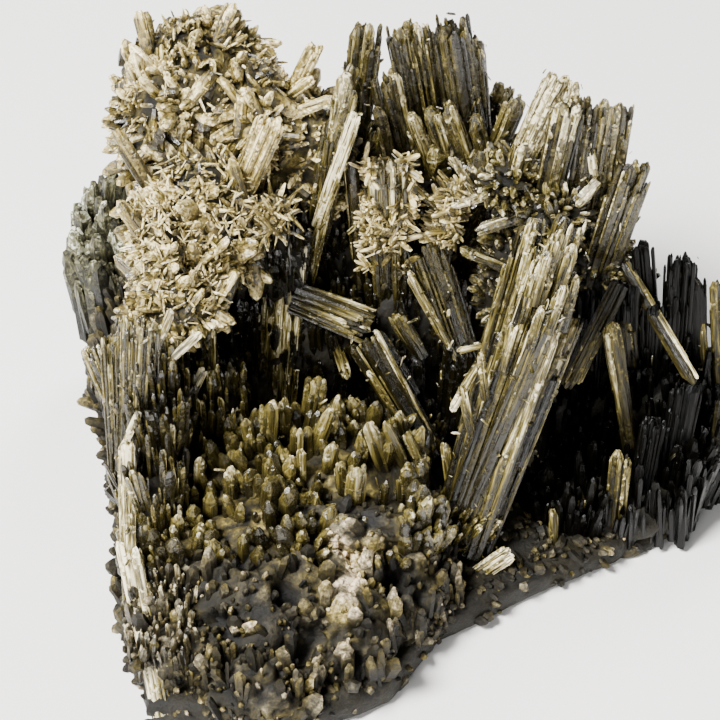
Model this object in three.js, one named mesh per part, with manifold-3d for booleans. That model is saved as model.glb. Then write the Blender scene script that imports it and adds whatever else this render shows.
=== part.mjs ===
// Epidote specimen: sprays of striated prisms, grown together on a lump of host rock.
// Millimetres, +Z up. The origin is on the table, under the middle of the specimen's box.
import * as THREE from 'three';
import { mergeVertices } from 'three/addons/utils/BufferGeometryUtils.js';
import Module from 'manifold-3d';

// The layout is read from one front view, a square of 100 mm seen from above the table.
// A place in it is [across, up, height]: where it is seen, and how high it is above the table.
const VIEW_SIDE = 100;
const VIEW_ELEVATION = THREE.MathUtils.degToRad(42);
const VIEW_DISTANCE = 320;
const VIEW_MIDDLE = new THREE.Vector3(0, 0, 30);

// Driving dimensions
const BOX_MIDDLE = new THREE.Vector3(7.88, -0.81, 0); // middle of the layout's box, moved to the origin
const CONTACT = 0.3; // growth contact left open between neighbouring pieces
const ROCK_SLAB = 5; // height of the slab under the whole specimen
const SLAB_BEVEL = 1.5;
const BROAD_SIDES = 6; // sides of a broad prism
const NARROW_SIDES = 4; // sides of a narrow one
const NARROW = 4; // width below which a prism is narrow
const PRISM_THICKNESS = 0.75; // thickness of a prism for its width, where none is given
const TIP_LENGTH = 0.8; // length of a pointed end for the width of its prism
const LEAST_SHAFT = 0.4; // least share of a prism's length below its point
const TIP_LEAN = 0.45; // how far the point leans to one side, for half the width
const LATH_STEP = 0.16; // how much shorter the second lath of a bundle is, for the bundle's length
const LATH_OVERLAP = 1.5; // width of a lath for its share of the bundle
const LATH_THICKNESS = 0.7; // thickness of a lath for the bundle's
const LATH_OFFSET = 1 / 6; // how far laths stand in front and behind, for the bundle's thickness
const LARGE_LUMP = 10.5; // least radius of a lump that has the finer facets
const LUMP_WOBBLE = 0.2; // unevenness of a lump, for its radius
const LUMP_WAVES = [new THREE.Vector3(5.1, 0, 3.3), new THREE.Vector3(0, 4.3, -3.7)]; // run of its two waves
const MERGE_DISTANCE = 1e-5; // corners closer than this are one corner
const CUT_BLOCK = [300, 300, 100]; // block that cuts away what is under the table

// Underside of the host rock, plan view [x, y]
const UNDERSIDE = [
  [-28, -41], [-10, -44], [4, -37], [11, -26], [20, -20.5], [27, -16], [37, -11], [47, -1],
  [55, 3], [57, 13], [48, 24], [33, 32], [12, 37], [-14, 40], [-32, 37], [-41, 26], [-38, 8],
  [-34.5, -10], [-33, -25],
];

// Lumps are [x, y, z, radius x, radius y, radius z] of an uneven ball
const ROCK_LUMPS = [
  [-15, -25, 6, 19, 15, 13], [-25.5, -18, 7, 8.5, 17, 12], [3, -20, 4, 11, 11, 12], [-9, -9, 5, 25, 10, 12],
  [-25, 20, 10, 16, 20, 22], [6, 27, 8, 24, 12, 18], [36, 18, 5, 18, 12, 11], [30, -3, 1, 16, 8, 3],
  [-13, -37, 5, 9, 6, 7], [-24, -31, 8, 8, 7, 8], [-3, -31, 7, 8, 7, 8],
];

// Crystals are [root, tip, width] or [root, tip, width, thickness, laths]
const MAIN_SPRAY = {
  lumps: [[14, -11, 8, 7, 5, 6]],
  crystals: [
    [[63.5, 24.5, 6], [79.5, 69.5, 52], 5.4, 4, 2], [[62.3, 24.5, 7], [76.3, 64, 48], 4.6, 3.5, 2],
    [[65, 23, 6], [77.5, 59, 43], 4.6, 3.5, 2], [[62, 27, 8], [74, 70, 51], 5, 3.5, 2],
    [[66.6, 22.8, 5], [79.4, 55.8, 36], 3.6, 3], [[63, 24.5, 7], [76.5, 56.7, 42.5], 3.2, 3],
    [[61.4, 26.5, 8], [69.4, 54.2, 36.5], 2.8, 2.4], [[69.2, 54, 34.5], [62.8, 42.9, 28.5], 1.6],
    [[62.8, 30.5, 12], [61.7, 38.5, 19.5], 1.8],
    [[66, 20, 4], [71, 23.3, 8], 3, 2.6], [[73.8, 60, 44.3], [77.4, 67.4, 50.3], 1.8],
  ],
};
const FRONT_DRUSE = {
  lumps: [
    [-20, -9, 14, 16, 11, 7], [-3, -6, 13, 16, 11, 7], [-14, -20, 15, 13, 7, 6], [3, -17, 12, 10, 7, 6],
    [-25, -22, 14, 8, 6, 6],
  ],
  crystals: [
    [[21.9, 31.3, 17], [23.9, 39.4, 28], 3],
    [[25.3, 31.5, 17], [25.3, 37.8, 25.5], 2.3], [[33, 34.6, 17], [32, 39.9, 24], 2.4],
    [[35.3, 35.6, 17], [34.2, 41.7, 25], 2.1], [[37, 36.2, 17], [37.5, 44.2, 27], 3.2],
    [[39.6, 38, 17], [39.5, 44.6, 26], 2.3], [[42.8, 39, 15], [44.2, 47.5, 27], 4, 3],
    [[41, 35, 17], [41.2, 40.6, 24.5], 2.4], [[43.2, 36, 17], [46, 43.4, 26.5], 2.7, 2],
    [[45.2, 33.3, 17], [46.3, 38.5, 24], 2.4],
    [[37.2, 32.5, 17], [37.3, 36.3, 22.5], 2.2], [[49, 37, 14], [49.2, 41.3, 21], 2.4],
    [[53.8, 33, 14], [51, 41.4, 26], 3, 2.2], [[57.2, 33, 13], [53.2, 41.3, 25], 2.3],
    [[60, 32, 11], [56.3, 40, 22.5], 1.9], [[49, 27.5, 16], [49.8, 35.2, 26], 3],
    [[56, 29, 14], [56.2, 34.7, 23], 2.3], [[20, 31.5, 17], [19.8, 37.5, 25], 2.1],
    [[25, 26.7, 16], [25, 32.5, 23], 2.8],
    [[32, 29.5, 17], [32, 35, 23.5], 2.6],
    [[29.6, 34, 17], [29.2, 39, 24], 2.2], [[30, 39, 16], [28.5, 45, 24], 2.8, 2],
    [[26, 37.5, 17], [26.5, 43.5, 25], 2.6], [[36, 29.4, 19], [57.5, 26.3, 16.5], 3, 3],
  ],
};
const LEFT_WALL = {
  lumps: [[-28, -9, 27, 6.5, 9, 12], [-28, -18, 20, 5.5, 8, 8], [-23, -2, 20, 9, 7, 9]],
  crystals: [
    [[16.4, 34.5, 25], [15.4, 53.5, 43], 3, 2.6], [[17.4, 34, 25], [17.8, 56.1, 46], 2.9, 2.4],
    [[18.8, 34, 25], [19.9, 55.8, 46], 2.6, 2.4], [[20.8, 35, 24], [21.1, 54.2, 44], 2.7, 2.4],
    [[22.9, 36, 21], [22.2, 51.4, 39], 3.2, 2.6], [[16, 43, 33], [12.3, 51.8, 40], 3, 2.4],
    [[21, 47.6, 36.5], [27.9, 53.8, 42], 1.4, 1.2], [[20.8, 49.6, 39], [24, 56.9, 46.5], 1.5],
    [[24.6, 41, 24], [28.3, 48.9, 33], 1.7],
    [[29.4, 42, 20], [28.9, 56, 38], 2.4, 1.8], [[25.8, 44, 25], [25.2, 52.5, 36], 2.2],
    [[22.2, 0.5, 2.5], [17, 25, 20], 2.4, 2.2],
    [[18, 17, 13], [17.6, 38.9, 32], 2.8, 2.4],
  ],
};
const CENTRE_SPRAY = {
  lumps: [[-7, 14, 20, 16, 7, 14], [8, 16, 22, 13, 6, 15], [2, 7, 7, 18, 7, 7]],
  crystals: [
    [[44, 65, 34], [48.5, 89.7, 65], 4, 2.8, 2], [[42.6, 64, 34.5], [49.6, 84.4, 61.5], 2.2, 1.9],
    [[43.7, 64, 33], [46.3, 83.3, 57.5], 4, 2.8], [[42.8, 58.5, 28], [45.4, 70.6, 44], 1.5],
    [[50.6, 54, 20], [48.6, 77.8, 51], 2.7, 2.1], [[39.3, 43.5, 11], [40.7, 66.4, 38], 4.6, 3.2],
    [[36.4, 42.5, 11], [37.8, 63.2, 35], 3.4, 2.8], [[39.9, 53, 23], [41.8, 60.3, 32], 1.7],
    [[40.6, 58.6, 30], [51.5, 54.4, 26], 5, 3.6, 2], [[46.3, 53.4, 25.5], [48.2, 47.4, 19], 1.8],
    [[60, 37, 8], [50.3, 53, 27], 5.2, 3.6, 2], [[60.8, 38, 9.5], [52.2, 54.2, 29], 1.4, 1.3],
    [[58.6, 50.5, 21], [55, 56.1, 28], 3.4, 2.6],
    [[65.5, 47, 15], [59, 66.3, 38], 5.4, 3.2, 2], [[64.2, 48.5, 18], [56.7, 62.2, 34.5], 1.7],
    [[54.2, 57, 26], [53.6, 77.8, 51], 6, 4.5], [[60.8, 71, 42], [54.3, 77, 49.5], 1.8],
    [[61.2, 63, 33], [62.8, 74.6, 46], 3, 2.4],
    [[53, 41, 7], [51.5, 50, 19], 3.2, 2.6],
    [[34.5, 41.5, 10], [34.4, 58, 32], 3.4, 2.6], [[43.4, 42, 8], [44, 56, 26], 3.6, 2.6],
    [[56.5, 39, 5], [57, 51, 21], 5, 3.4], [[62, 39, 5], [64, 53, 23], 5, 3.4],
    [[47, 42, 7], [47.5, 53, 22], 3.4],
  ],
};
const RIGHT_WALL = {
  lumps: [[33, 10, 9, 13, 7, 11], [44, 10, 10, 13, 8, 13], [36, -3, 5, 17, 9, 5], [48, 3, 5, 9, 6, 7]],
  crystals: [
    [[84.4, 67.2, 36], [96.4, 46.8, 24], 2.2, 1.7],
    [[86.1, 60.5, 30.5], [78.8, 46.1, 19], 3.3, 2.4], [[87.5, 37, 8], [84.7, 55.3, 30], 2.8, 2.4],
    [[85, 23.8, 2], [86.4, 37.2, 17], 3.6, 3, 2],
    [[80.6, 23.8, 2], [80.6, 31.7, 10.5], 2.8, 2.2], [[76.8, 21.8, 2], [76.7, 29.4, 10], 1.8],
    [[91, 42, 10], [89, 66.3, 38.5], 3.6, 3], [[93.3, 40.5, 9], [94.6, 64.3, 38], 4.7, 4, 2],
    [[97.2, 39.5, 7], [97.1, 61.3, 34.5], 2.8, 2.6], [[100.5, 39.5, 7], [99.6, 61, 34], 2.8, 2.6],
    [[104, 40, 7], [104, 58, 30.5], 4, 3.4], [[98.3, 30, 2.5], [100.5, 45, 19], 2, 1.8],
    [[76.5, 36, 3], [78.5, 58, 32], 4.8, 3.6],
    [[81, 36, 3], [82.5, 60, 34.5], 5, 3.6], [[85.8, 36, 3], [86.5, 61, 35.5], 5, 3.6],
    [[90.2, 36.3, 3], [91, 58, 32], 4.6, 3.4], [[92, 28.3, 2.5], [95.5, 47, 22], 4.6, 3.6],
    [[88, 25.8, 2.5], [91, 42, 19], 4, 3.2], [[102.5, 33, 4], [105.5, 48, 20], 4, 3.4],
  ],
};
const RIGHT_SPRAY = {
  lumps: [
    [24, 18, 28, 8, 6, 13], [20.5, 21, 45, 6, 5, 5], [27.5, 17.4, 42, 5, 4, 4.5], [35, 18, 28, 7, 5, 10],
  ],
  crystals: [
    [[69, 71, 40], [77.8, 89.6, 64], 4.4, 3.2, 2], [[75.2, 69, 38], [79.2, 85.8, 61], 4.8, 3.4, 2],
    [[77, 75, 46], [79.9, 88.5, 63.5], 2.2], [[79.8, 66, 34], [82.9, 86.1, 61], 5, 3.8],
    [[83.4, 64, 31], [86.7, 85.6, 60], 4, 3.4], [[82.6, 60.5, 30], [88.2, 77, 51], 5.6, 4.6],
    [[83, 75, 48], [80, 71.4, 44.5], 1.9],
    [[70, 73.8, 45], [62.6, 71.6, 43.5], 1.9],
    [[74, 70.6, 42], [66.1, 68, 40], 2.2], [[74.5, 61, 32.5], [64, 65.3, 39], 2.1],
    [[70.5, 72, 42], [72.6, 80, 53], 3, 2.4],
  ],
};
const BACK_SPRAY = {
  lumps: [[10, 29, 34, 15, 7, 16], [17, 34, 20, 24, 9, 14]],
  crystals: [
    [[48.5, 76, 40], [51, 96.5, 67.4], 3, 2.4], [[60.5, 74, 37], [56.3, 96.4, 67.3], 4.6, 3.2, 2],
    [[60.8, 78, 43], [57.6, 96.9, 68], 1.6, 1.4], [[66.8, 70, 32], [62.4, 97, 68], 5.2, 4, 2],
    [[66.4, 79, 44], [65.3, 94.7, 65], 3.6, 3], [[67.6, 75.5, 41.5], [72, 86.3, 57], 3.8, 3],
    [[66.6, 73, 39], [62.2, 85.6, 56.3], 3.2, 2.4], [[64.4, 72.5, 38.5], [60, 85, 55.5], 3.2, 2.4],
    [[61.2, 73, 39], [57.2, 84.4, 54.7], 2.8, 2.2], [[68.4, 75, 42], [65.8, 84, 54], 2.8, 2.2],
    [[58, 70, 33], [53.5, 90, 60], 3.4, 2.8],
    [[64, 66, 22], [70, 88, 52], 5, 4], [[58, 66, 22], [64, 91, 56], 5, 4],
    [[70, 68, 22], [79, 84, 46], 4.6, 3.6, 2],
  ],
};
const UPPER_MOUND = {
  lumps: [
    [-22.5, 30, 53, 12, 11, 14], [-28, 25, 51, 6.5, 9, 13], [-15, 26, 52, 6, 8, 11], [-21, 15, 40, 11, 13, 16],
    [-27, 9, 42, 4.5, 9, 10], [-24, 2, 37, 8, 7, 9], [-12, 15, 36, 7, 7, 11], [-8, 25, 46, 8, 7, 11],
    [-37, 30, 19, 7, 12, 13], [-24, 36, 33, 11, 7, 16],
  ],
  crystals: [
    [[33, 72, 46], [37.9, 83.6, 59.5], 4.4, 3.2, 2], [[18.8, 85, 56.5], [22.6, 89.6, 62], 2],
    [[39, 84, 52], [43.9, 93.8, 64.5], 2.8], [[39.6, 86.4, 56], [43.5, 89.3, 60], 1.7],
    [[37.5, 83, 54], [46.3, 86.3, 58.5], 1.9], [[27.5, 63.4, 43], [31.8, 66.7, 47], 1.5],
    [[20, 57.5, 38], [22, 61, 45], 1.8], [[23, 78, 50], [25.4, 83, 57.5], 4, 3],
    [[22, 64, 44], [16.5, 72, 52], 2.6, 2], [[21.5, 73, 49], [16, 82, 60], 2.6, 2],
    [[21, 92, 62], [19.5, 98.6, 68], 2.6, 2], [[30, 93, 63], [32.5, 99.6, 69], 2.4, 2],
  ],
};

const wasm = await Module();
wasm.setup();

const VIEW_UP = new THREE.Vector3(0, Math.sin(VIEW_ELEVATION), Math.cos(VIEW_ELEVATION));
const VIEW_BACK = new THREE.Vector3(0, -Math.cos(VIEW_ELEVATION), Math.sin(VIEW_ELEVATION));
const EYE = VIEW_MIDDLE.clone().addScaledVector(VIEW_BACK, VIEW_DISTANCE);

// The point of the sight line through [across, up] that lies at the given height
function placed([across, up, height]) {
  const sight = new THREE.Vector3(across - VIEW_SIDE / 2, 0, 0).add(VIEW_MIDDLE);
  sight.addScaledVector(VIEW_UP, up - VIEW_SIDE / 2).sub(EYE);
  return EYE.clone().addScaledVector(sight, (height - EYE.z) / sight.z);
}

// A closed geometry as a solid that can be joined and cut
function solid(geometry) {
  geometry.deleteAttribute('normal');
  geometry.deleteAttribute('uv');
  const merged = mergeVertices(geometry, MERGE_DISTANCE);
  const corners = merged.index.array;
  const kept = [];
  for (let first = 0; first < corners.length; first += 3) {
    const [a, b, c] = corners.slice(first, first + 3);
    if (a !== b && b !== c && c !== a) {
      kept.push(a, b, c);
    }
  }
  return new wasm.Manifold(new wasm.Mesh({
    numProp: 3,
    vertProperties: merged.attributes.position.array,
    triVerts: new Uint32Array(kept),
  }));
}

// A flattened prism with a leaning point, from its root along its axis.
// Its broad face is turned to the front, and grow makes it fatter all round.
function prism(root, tip, width, thickness, grow) {
  const axis = tip.clone().sub(root);
  const length = axis.length() + 2 * grow;
  axis.normalize();
  const shoulder = Math.max(length - width * TIP_LENGTH, length * LEAST_SHAFT);
  const profile = [[0, 0], [1, 0], [1, shoulder], [0, length]].map(([r, y]) => new THREE.Vector2(r, y));
  const sides = width < NARROW ? NARROW_SIDES : BROAD_SIDES;
  const geometry = new THREE.LatheGeometry(profile, sides, Math.PI / 2);
  geometry.scale(width / 2 + grow, 1, thickness / 2 + grow);
  const places = geometry.attributes.position;
  for (let i = 0; i < places.count; i += 1) {
    if (places.getY(i) > (shoulder + length) / 2) {
      places.setX(i, (TIP_LEAN * width) / 2);
    }
  }
  const side = new THREE.Vector3().crossVectors(axis, VIEW_BACK).normalize();
  const front = new THREE.Vector3().crossVectors(side, axis);
  const frame = new THREE.Matrix4().makeBasis(side, axis, front);
  frame.setPosition(root.clone().addScaledVector(axis, -grow));
  return solid(geometry.applyMatrix4(frame));
}

// A crystal: one prism, or a bundle of parallel laths with stepped tips
function crystal([rootPlace, tipPlace, width, thickness = width * PRISM_THICKNESS, laths = 1], grow) {
  const root = placed(rootPlace);
  const tip = placed(tipPlace);
  if (laths === 1) {
    return [prism(root, tip, width, thickness, grow)];
  }
  const axis = tip.clone().sub(root);
  const side = new THREE.Vector3().crossVectors(axis, VIEW_BACK).normalize();
  const front = new THREE.Vector3().crossVectors(side, axis).normalize();
  return Array.from({ length: laths }, (_, i) => {
    const across = width * ((i + 0.5) / laths - 0.5);
    const forward = thickness * LATH_OFFSET * (i % 2 ? 1 : -1);
    const shift = side.clone().multiplyScalar(across).addScaledVector(front, forward);
    const top = tip.clone().addScaledVector(axis, -LATH_STEP * i).add(shift);
    const lathWidth = (width / laths) * LATH_OVERLAP;
    return prism(root.clone().add(shift), top, lathWidth, thickness * LATH_THICKNESS, grow);
  });
}

// An uneven ball: two waves across it move each corner in or out
function lump([x, y, z, ...radii], grow) {
  const detail = Math.min(...radii) < LARGE_LUMP ? 0 : 1;
  const geometry = new THREE.IcosahedronGeometry(1, detail);
  const places = geometry.attributes.position;
  const point = new THREE.Vector3();
  for (let i = 0; i < places.count; i += 1) {
    point.fromBufferAttribute(places, i);
    const wave = Math.sin(LUMP_WAVES[0].dot(point) + x) + Math.sin(LUMP_WAVES[1].dot(point) + y);
    point.multiplyScalar(1 + (LUMP_WOBBLE * wave) / 2);
    places.setXYZ(i, point.x, point.y, point.z);
  }
  geometry.scale(...radii.map((radius) => radius + grow));
  geometry.translate(x, y, z);
  return solid(geometry);
}

function joined(solids) {
  return solids.reduce((whole, next) => whole.add(next));
}

// A block with its top at the given height
function blockBelow(height) {
  return solid(new THREE.BoxGeometry(...CUT_BLOCK).translate(0, 0, height - CUT_BLOCK[2] / 2));
}

const BELOW_TABLE = blockBelow(0);
const BELOW_SPRAYS = blockBelow(2 * CONTACT);

// The host rock: a slab with the underside's outline, and lumps, cut flat to stand on
function rock(grow) {
  const outline = new THREE.Shape(UNDERSIDE.map(([x, y]) => new THREE.Vector2(x, y)));
  const slab = new THREE.ExtrudeGeometry(outline, {
    depth: ROCK_SLAB - SLAB_BEVEL,
    bevelThickness: SLAB_BEVEL,
    bevelSize: SLAB_BEVEL,
    bevelOffset: grow - SLAB_BEVEL,
    bevelSegments: 1,
  });
  const lumps = ROCK_LUMPS.map((shape) => lump(shape, grow));
  return joined([solid(slab.translate(0, 0, grow)), ...lumps]).subtract(BELOW_TABLE);
}

// A spray: its massive root and its crystals, in one solid
function spray({ lumps, crystals }, grow) {
  const roots = lumps.map((shape) => lump(shape, grow));
  const grown = crystals.flatMap((shape) => crystal(shape, grow));
  return joined([...roots, ...grown]).subtract(BELOW_SPRAYS);
}

// The largest body that a cut leaves
function largest(shape) {
  return shape.decompose().reduce((a, b) => (a.volume() > b.volume() ? a : b));
}

function finish(color, roughness) {
  return new THREE.MeshStandardMaterial({ color, roughness, metalness: 0, flatShading: true });
}

// Earlier pieces keep their whole shape, and later ones are cut back to a growth contact with them
const PIECES = [
  ['matrix', rock, finish('#6f6f5e', 0.9)],
  ['main_spray', (grow) => spray(MAIN_SPRAY, grow), finish('#837b63', 0.35)],
  ['front_druse', (grow) => spray(FRONT_DRUSE, grow), finish('#64593e', 0.4)],
  ['left_wall', (grow) => spray(LEFT_WALL, grow), finish('#878069', 0.35)],
  ['centre_spray', (grow) => spray(CENTRE_SPRAY, grow), finish('#51483a', 0.35)],
  ['right_wall', (grow) => spray(RIGHT_WALL, grow), finish('#2a2620', 0.3)],
  ['right_spray', (grow) => spray(RIGHT_SPRAY, grow), finish('#6a6044', 0.4)],
  ['back_spray', (grow) => spray(BACK_SPRAY, grow), finish('#5c5240', 0.4)],
  ['upper_mound', (grow) => spray(UPPER_MOUND, grow), finish('#96896e', 0.55)],
];

const specimen = new THREE.Group();
specimen.name = 'epidote';
specimen.position.copy(BOX_MIDDLE).negate();

let taken = null;
for (const [name, shape, material] of PIECES) {
  const whole = shape(0);
  const { vertProperties, triVerts } = largest(taken ? whole.subtract(taken) : whole).getMesh();
  const geometry = new THREE.BufferGeometry();
  geometry.setAttribute('position', new THREE.BufferAttribute(vertProperties, 3));
  geometry.setIndex(new THREE.BufferAttribute(triVerts, 1));
  const mesh = new THREE.Mesh(geometry, material);
  mesh.name = name;
  specimen.add(mesh);
  const contact = shape(CONTACT);
  taken = taken ? taken.add(contact) : contact;
}

export default specimen;
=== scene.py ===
"""Looks of an epidote specimen: striated prisms in sprays, a needle crust and the rock that they grew on."""

import math
from collections import namedtuple

import bpy
import numpy as np
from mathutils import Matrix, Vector


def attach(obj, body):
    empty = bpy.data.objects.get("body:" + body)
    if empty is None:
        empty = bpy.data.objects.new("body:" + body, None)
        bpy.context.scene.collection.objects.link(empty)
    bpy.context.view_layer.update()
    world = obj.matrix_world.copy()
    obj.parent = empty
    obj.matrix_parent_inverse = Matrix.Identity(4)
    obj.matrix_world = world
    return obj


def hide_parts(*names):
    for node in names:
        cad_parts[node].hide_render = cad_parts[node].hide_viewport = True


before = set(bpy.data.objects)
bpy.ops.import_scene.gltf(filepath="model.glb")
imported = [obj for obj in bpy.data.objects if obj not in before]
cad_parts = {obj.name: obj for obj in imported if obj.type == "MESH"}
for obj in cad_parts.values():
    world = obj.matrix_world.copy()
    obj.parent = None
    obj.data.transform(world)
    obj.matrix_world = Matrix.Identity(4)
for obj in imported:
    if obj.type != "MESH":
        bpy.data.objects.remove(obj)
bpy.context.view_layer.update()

bl_info = {
    "name": "Epidote specimen",
    "version": (1, 0, 0),
    "blender": (4, 5, 0),
    "location": "View3D > Sidebar > Epidote",
    "description": "Builds the looks of an epidote crystal cluster around its frame",
    "category": "Add Mesh",
}

# Sizes below are in millimetres; the meshes are written in metres.
MM = 0.001

# The layout view: a square picture plane seen from the front, above the table. A place is [across, up,
# height]: where its sight line crosses that plane, and how high above the table the point is.
VIEW_SIDE = 100.0
VIEW_ELEVATION = math.radians(42)
VIEW_DISTANCE = 320.0
VIEW_MIDDLE = np.array([0.0, 0.0, 30.0])
BOX_MIDDLE = np.array([7.88, -0.81, 0.0])
TO_EYE = np.array([0.0, -math.cos(VIEW_ELEVATION), math.sin(VIEW_ELEVATION)])
PICTURE_UP = np.array([0.0, math.sin(VIEW_ELEVATION), math.cos(VIEW_ELEVATION)])
EYE = VIEW_MIDDLE + VIEW_DISTANCE * TO_EYE

# How each kind of crystal looks: width of its laths, tone from black 0 to cream 1, how much the tone varies,
# how much of it is left at the root, and how far its ends are stepped. The loss of tone towards the root is
# painted shade of the hollows that the crystals rise from.
LOOKS = {
    "silver": (1.05, 0.50, 0.42, 0.12, 0.34),
    "pale": (0.85, 0.72, 0.16, 0.70, 0.22),
    "white": (0.80, 0.95, 0.05, 0.90, 0.10),
    "olive": (1.25, 0.48, 0.20, 0.25, 0.30),
    "brown": (1.00, 0.37, 0.22, 0.28, 0.34),
    "smoky": (1.00, 0.24, 0.16, 0.40, 0.30),
    # dark: near-black epidote; part of its darkness is painted shade of the hollow and of the right wall.
    "dark": (0.90, 0.05, 0.05, 0.50, 0.36),
    "wall": (0.65, 0.44, 0.22, 0.55, 0.26),
    "tip": (1.90, 0.60, 0.14, 0.45, 0.30),
    "stub": (1.50, 0.50, 0.16, 0.12, 0.28),
}

# Crystals: place of the root, place of the tip, width, thickness, look.
MAIN_SPRAY = [
    ((63.5, 24.5, 6), (79.5, 69.5, 52), 5.4, 4.0, "silver"),
    ((62.3, 24.5, 7), (76.3, 64, 48), 4.6, 3.5, "silver"),
    ((65, 23, 6), (77.5, 59, 43), 4.6, 3.5, "silver"),
    ((62, 27, 8), (74, 70, 51), 5.0, 3.5, "brown"),
    ((66.6, 22.8, 5), (79.4, 55.8, 36), 3.6, 3.0, "silver"),
    ((63, 24.5, 7), (76.5, 56.7, 42.5), 3.2, 3.0, "silver"),
    ((61.4, 26.5, 8), (69.4, 54.2, 36.5), 2.8, 2.4, "silver"),
    ((69.2, 54, 34.5), (62.8, 42.9, 28.5), 1.6, 1.2, "pale"),
    ((62.8, 30.5, 12), (61.7, 38.5, 19.5), 1.8, 1.4, "olive"),
    ((66, 20, 4), (71, 23.3, 8), 3.0, 2.6, "pale"),
    ((73.8, 60, 44.3), (77.4, 67.4, 50.3), 1.8, 1.4, "pale"),
    ((66.8, 52, 36), (63.5, 51.2, 36), 1.1, 0.8, "pale"),
    ((75.3, 60, 44.5), (77.8, 68.3, 51.8), 2.4, 2.0, "tip"),
    ((77, 57.5, 42), (79.8, 66, 49.6), 2.3, 2.0, "tip"),
    ((78.2, 54, 38.3), (80.2, 61.8, 45.5), 2.2, 1.9, "tip"),
    ((74.2, 57.5, 43), (76.3, 65.2, 49.8), 2.1, 1.8, "tip"),
    ((76, 53.5, 39.8), (78.4, 60.3, 45.8), 2.2, 1.8, "tip"),
    ((72.3, 55, 41), (74.3, 62, 47), 2.0, 1.6, "tip"),
    ((73.6, 51.5, 38.2), (75.4, 57.5, 43.5), 1.9, 1.6, "tip"),
    ((69.6, 48.5, 34), (71.4, 55, 39.5), 1.9, 1.6, "tip"),
    ((67.3, 44.5, 30), (66.5, 51, 36), 1.7, 1.4, "tip"),
    ((65.5, 40, 25.5), (64.2, 46.5, 31), 1.6, 1.3, "tip"),
]
FRONT_DRUSE = [
    ((21.9, 31.3, 17), (23.9, 39.4, 28), 3.0, 2.3, "stub"),
    ((25.3, 31.5, 17), (25.3, 37.8, 25.5), 2.3, 1.8, "stub"),
    ((33, 34.6, 17), (32, 39.9, 24), 2.4, 1.8, "stub"),
    ((35.3, 35.6, 17), (34.2, 41.7, 25), 2.1, 1.6, "stub"),
    ((37, 36.2, 17), (37.5, 44.2, 27), 3.2, 2.4, "stub"),
    ((39.6, 38, 17), (39.5, 44.6, 26), 2.3, 1.8, "stub"),
    ((42.8, 39, 15), (44.2, 47.5, 27), 4.0, 3.0, "stub"),
    ((41, 35, 17), (41.2, 40.6, 24.5), 2.4, 1.8, "stub"),
    ((43.2, 36, 17), (46, 43.4, 26.5), 2.7, 2.0, "stub"),
    ((45.2, 33.3, 17), (46.3, 38.5, 24), 2.4, 1.8, "stub"),
    ((37.2, 32.5, 17), (37.3, 36.3, 22.5), 2.2, 1.7, "stub"),
    ((49, 37, 14), (49.2, 41.3, 21), 2.4, 1.8, "stub"),
    ((53.8, 33, 14), (51, 41.4, 26), 3.0, 2.2, "stub"),
    ((57.2, 33, 13), (53.2, 41.3, 25), 2.3, 1.8, "stub"),
    ((60, 32, 11), (56.3, 40, 22.5), 1.9, 1.5, "stub"),
    ((49, 27.5, 16), (49.8, 35.2, 26), 3.0, 2.3, "stub"),
    ((56, 29, 14), (56.2, 34.7, 23), 2.3, 1.8, "stub"),
    ((20, 31.5, 17), (19.8, 37.5, 25), 2.1, 1.6, "stub"),
    ((25, 26.7, 16), (25, 32.5, 23), 2.8, 2.1, "stub"),
    ((32, 29.5, 17), (32, 35, 23.5), 2.6, 2.0, "stub"),
    ((29.6, 34, 17), (29.2, 39, 24), 2.2, 1.7, "stub"),
    ((30, 39, 16), (28.5, 45, 24), 2.8, 2.0, "stub"),
    ((26, 37.5, 17), (26.5, 43.5, 25), 2.6, 2.0, "stub"),
    ((27.5, 31, 17), (27.6, 36.5, 24.5), 2.1, 1.6, "stub"),
    ((42, 33.5, 18), (42, 37.5, 23.5), 1.6, 1.2, "pale"),
    ((56.5, 25, 14), (57, 29, 20.5), 2.1, 1.6, "stub"),
    ((47.5, 31, 16), (47.2, 36, 23), 1.8, 1.4, "stub"),
    ((53, 28.5, 15), (53.4, 33, 21.5), 1.8, 1.4, "stub"),
    ((32, 41, 15), (33, 46, 22), 2.2, 1.7, "stub"),
]
LEFT_WALL = [
    ((16.4, 34.5, 25), (15.4, 53.5, 43), 3.0, 2.6, "wall"),
    ((17.4, 34, 25), (17.8, 56.1, 46), 2.9, 2.4, "wall"),
    ((18.8, 34, 25), (19.9, 55.8, 46), 2.6, 2.4, "wall"),
    ((20.8, 35, 24), (21.1, 54.2, 44), 2.7, 2.4, "wall"),
    ((22.9, 36, 21), (22.2, 51.4, 39), 3.2, 2.6, "dark"),
    ((16, 43, 33), (12.3, 51.8, 40), 3.0, 2.4, "wall"),
    ((21, 47.6, 36.5), (27.9, 53.8, 42), 1.4, 1.2, "white"),
    ((20.8, 49.6, 39), (24, 56.9, 46.5), 1.5, 1.1, "pale"),
    ((24.6, 41, 24), (28.3, 48.9, 33), 1.7, 1.3, "pale"),
    ((29.4, 42, 20), (28.9, 56, 38), 2.4, 1.8, "olive"),
    ((25.8, 44, 25), (25.2, 52.5, 36), 2.2, 1.6, "dark"),
    ((22.2, 0.5, 2.5), (17, 25, 20), 2.4, 2.2, "white"),
    ((18, 17, 13), (17.6, 38.9, 32), 2.8, 2.4, "pale"),
    ((23.4, 0.8, 3), (18.8, 24, 20), 1.9, 1.6, "pale"),
    ((16.8, 37.5, 29.5), (19.3, 42.8, 35), 1.2, 0.9, "white"),
]
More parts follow.
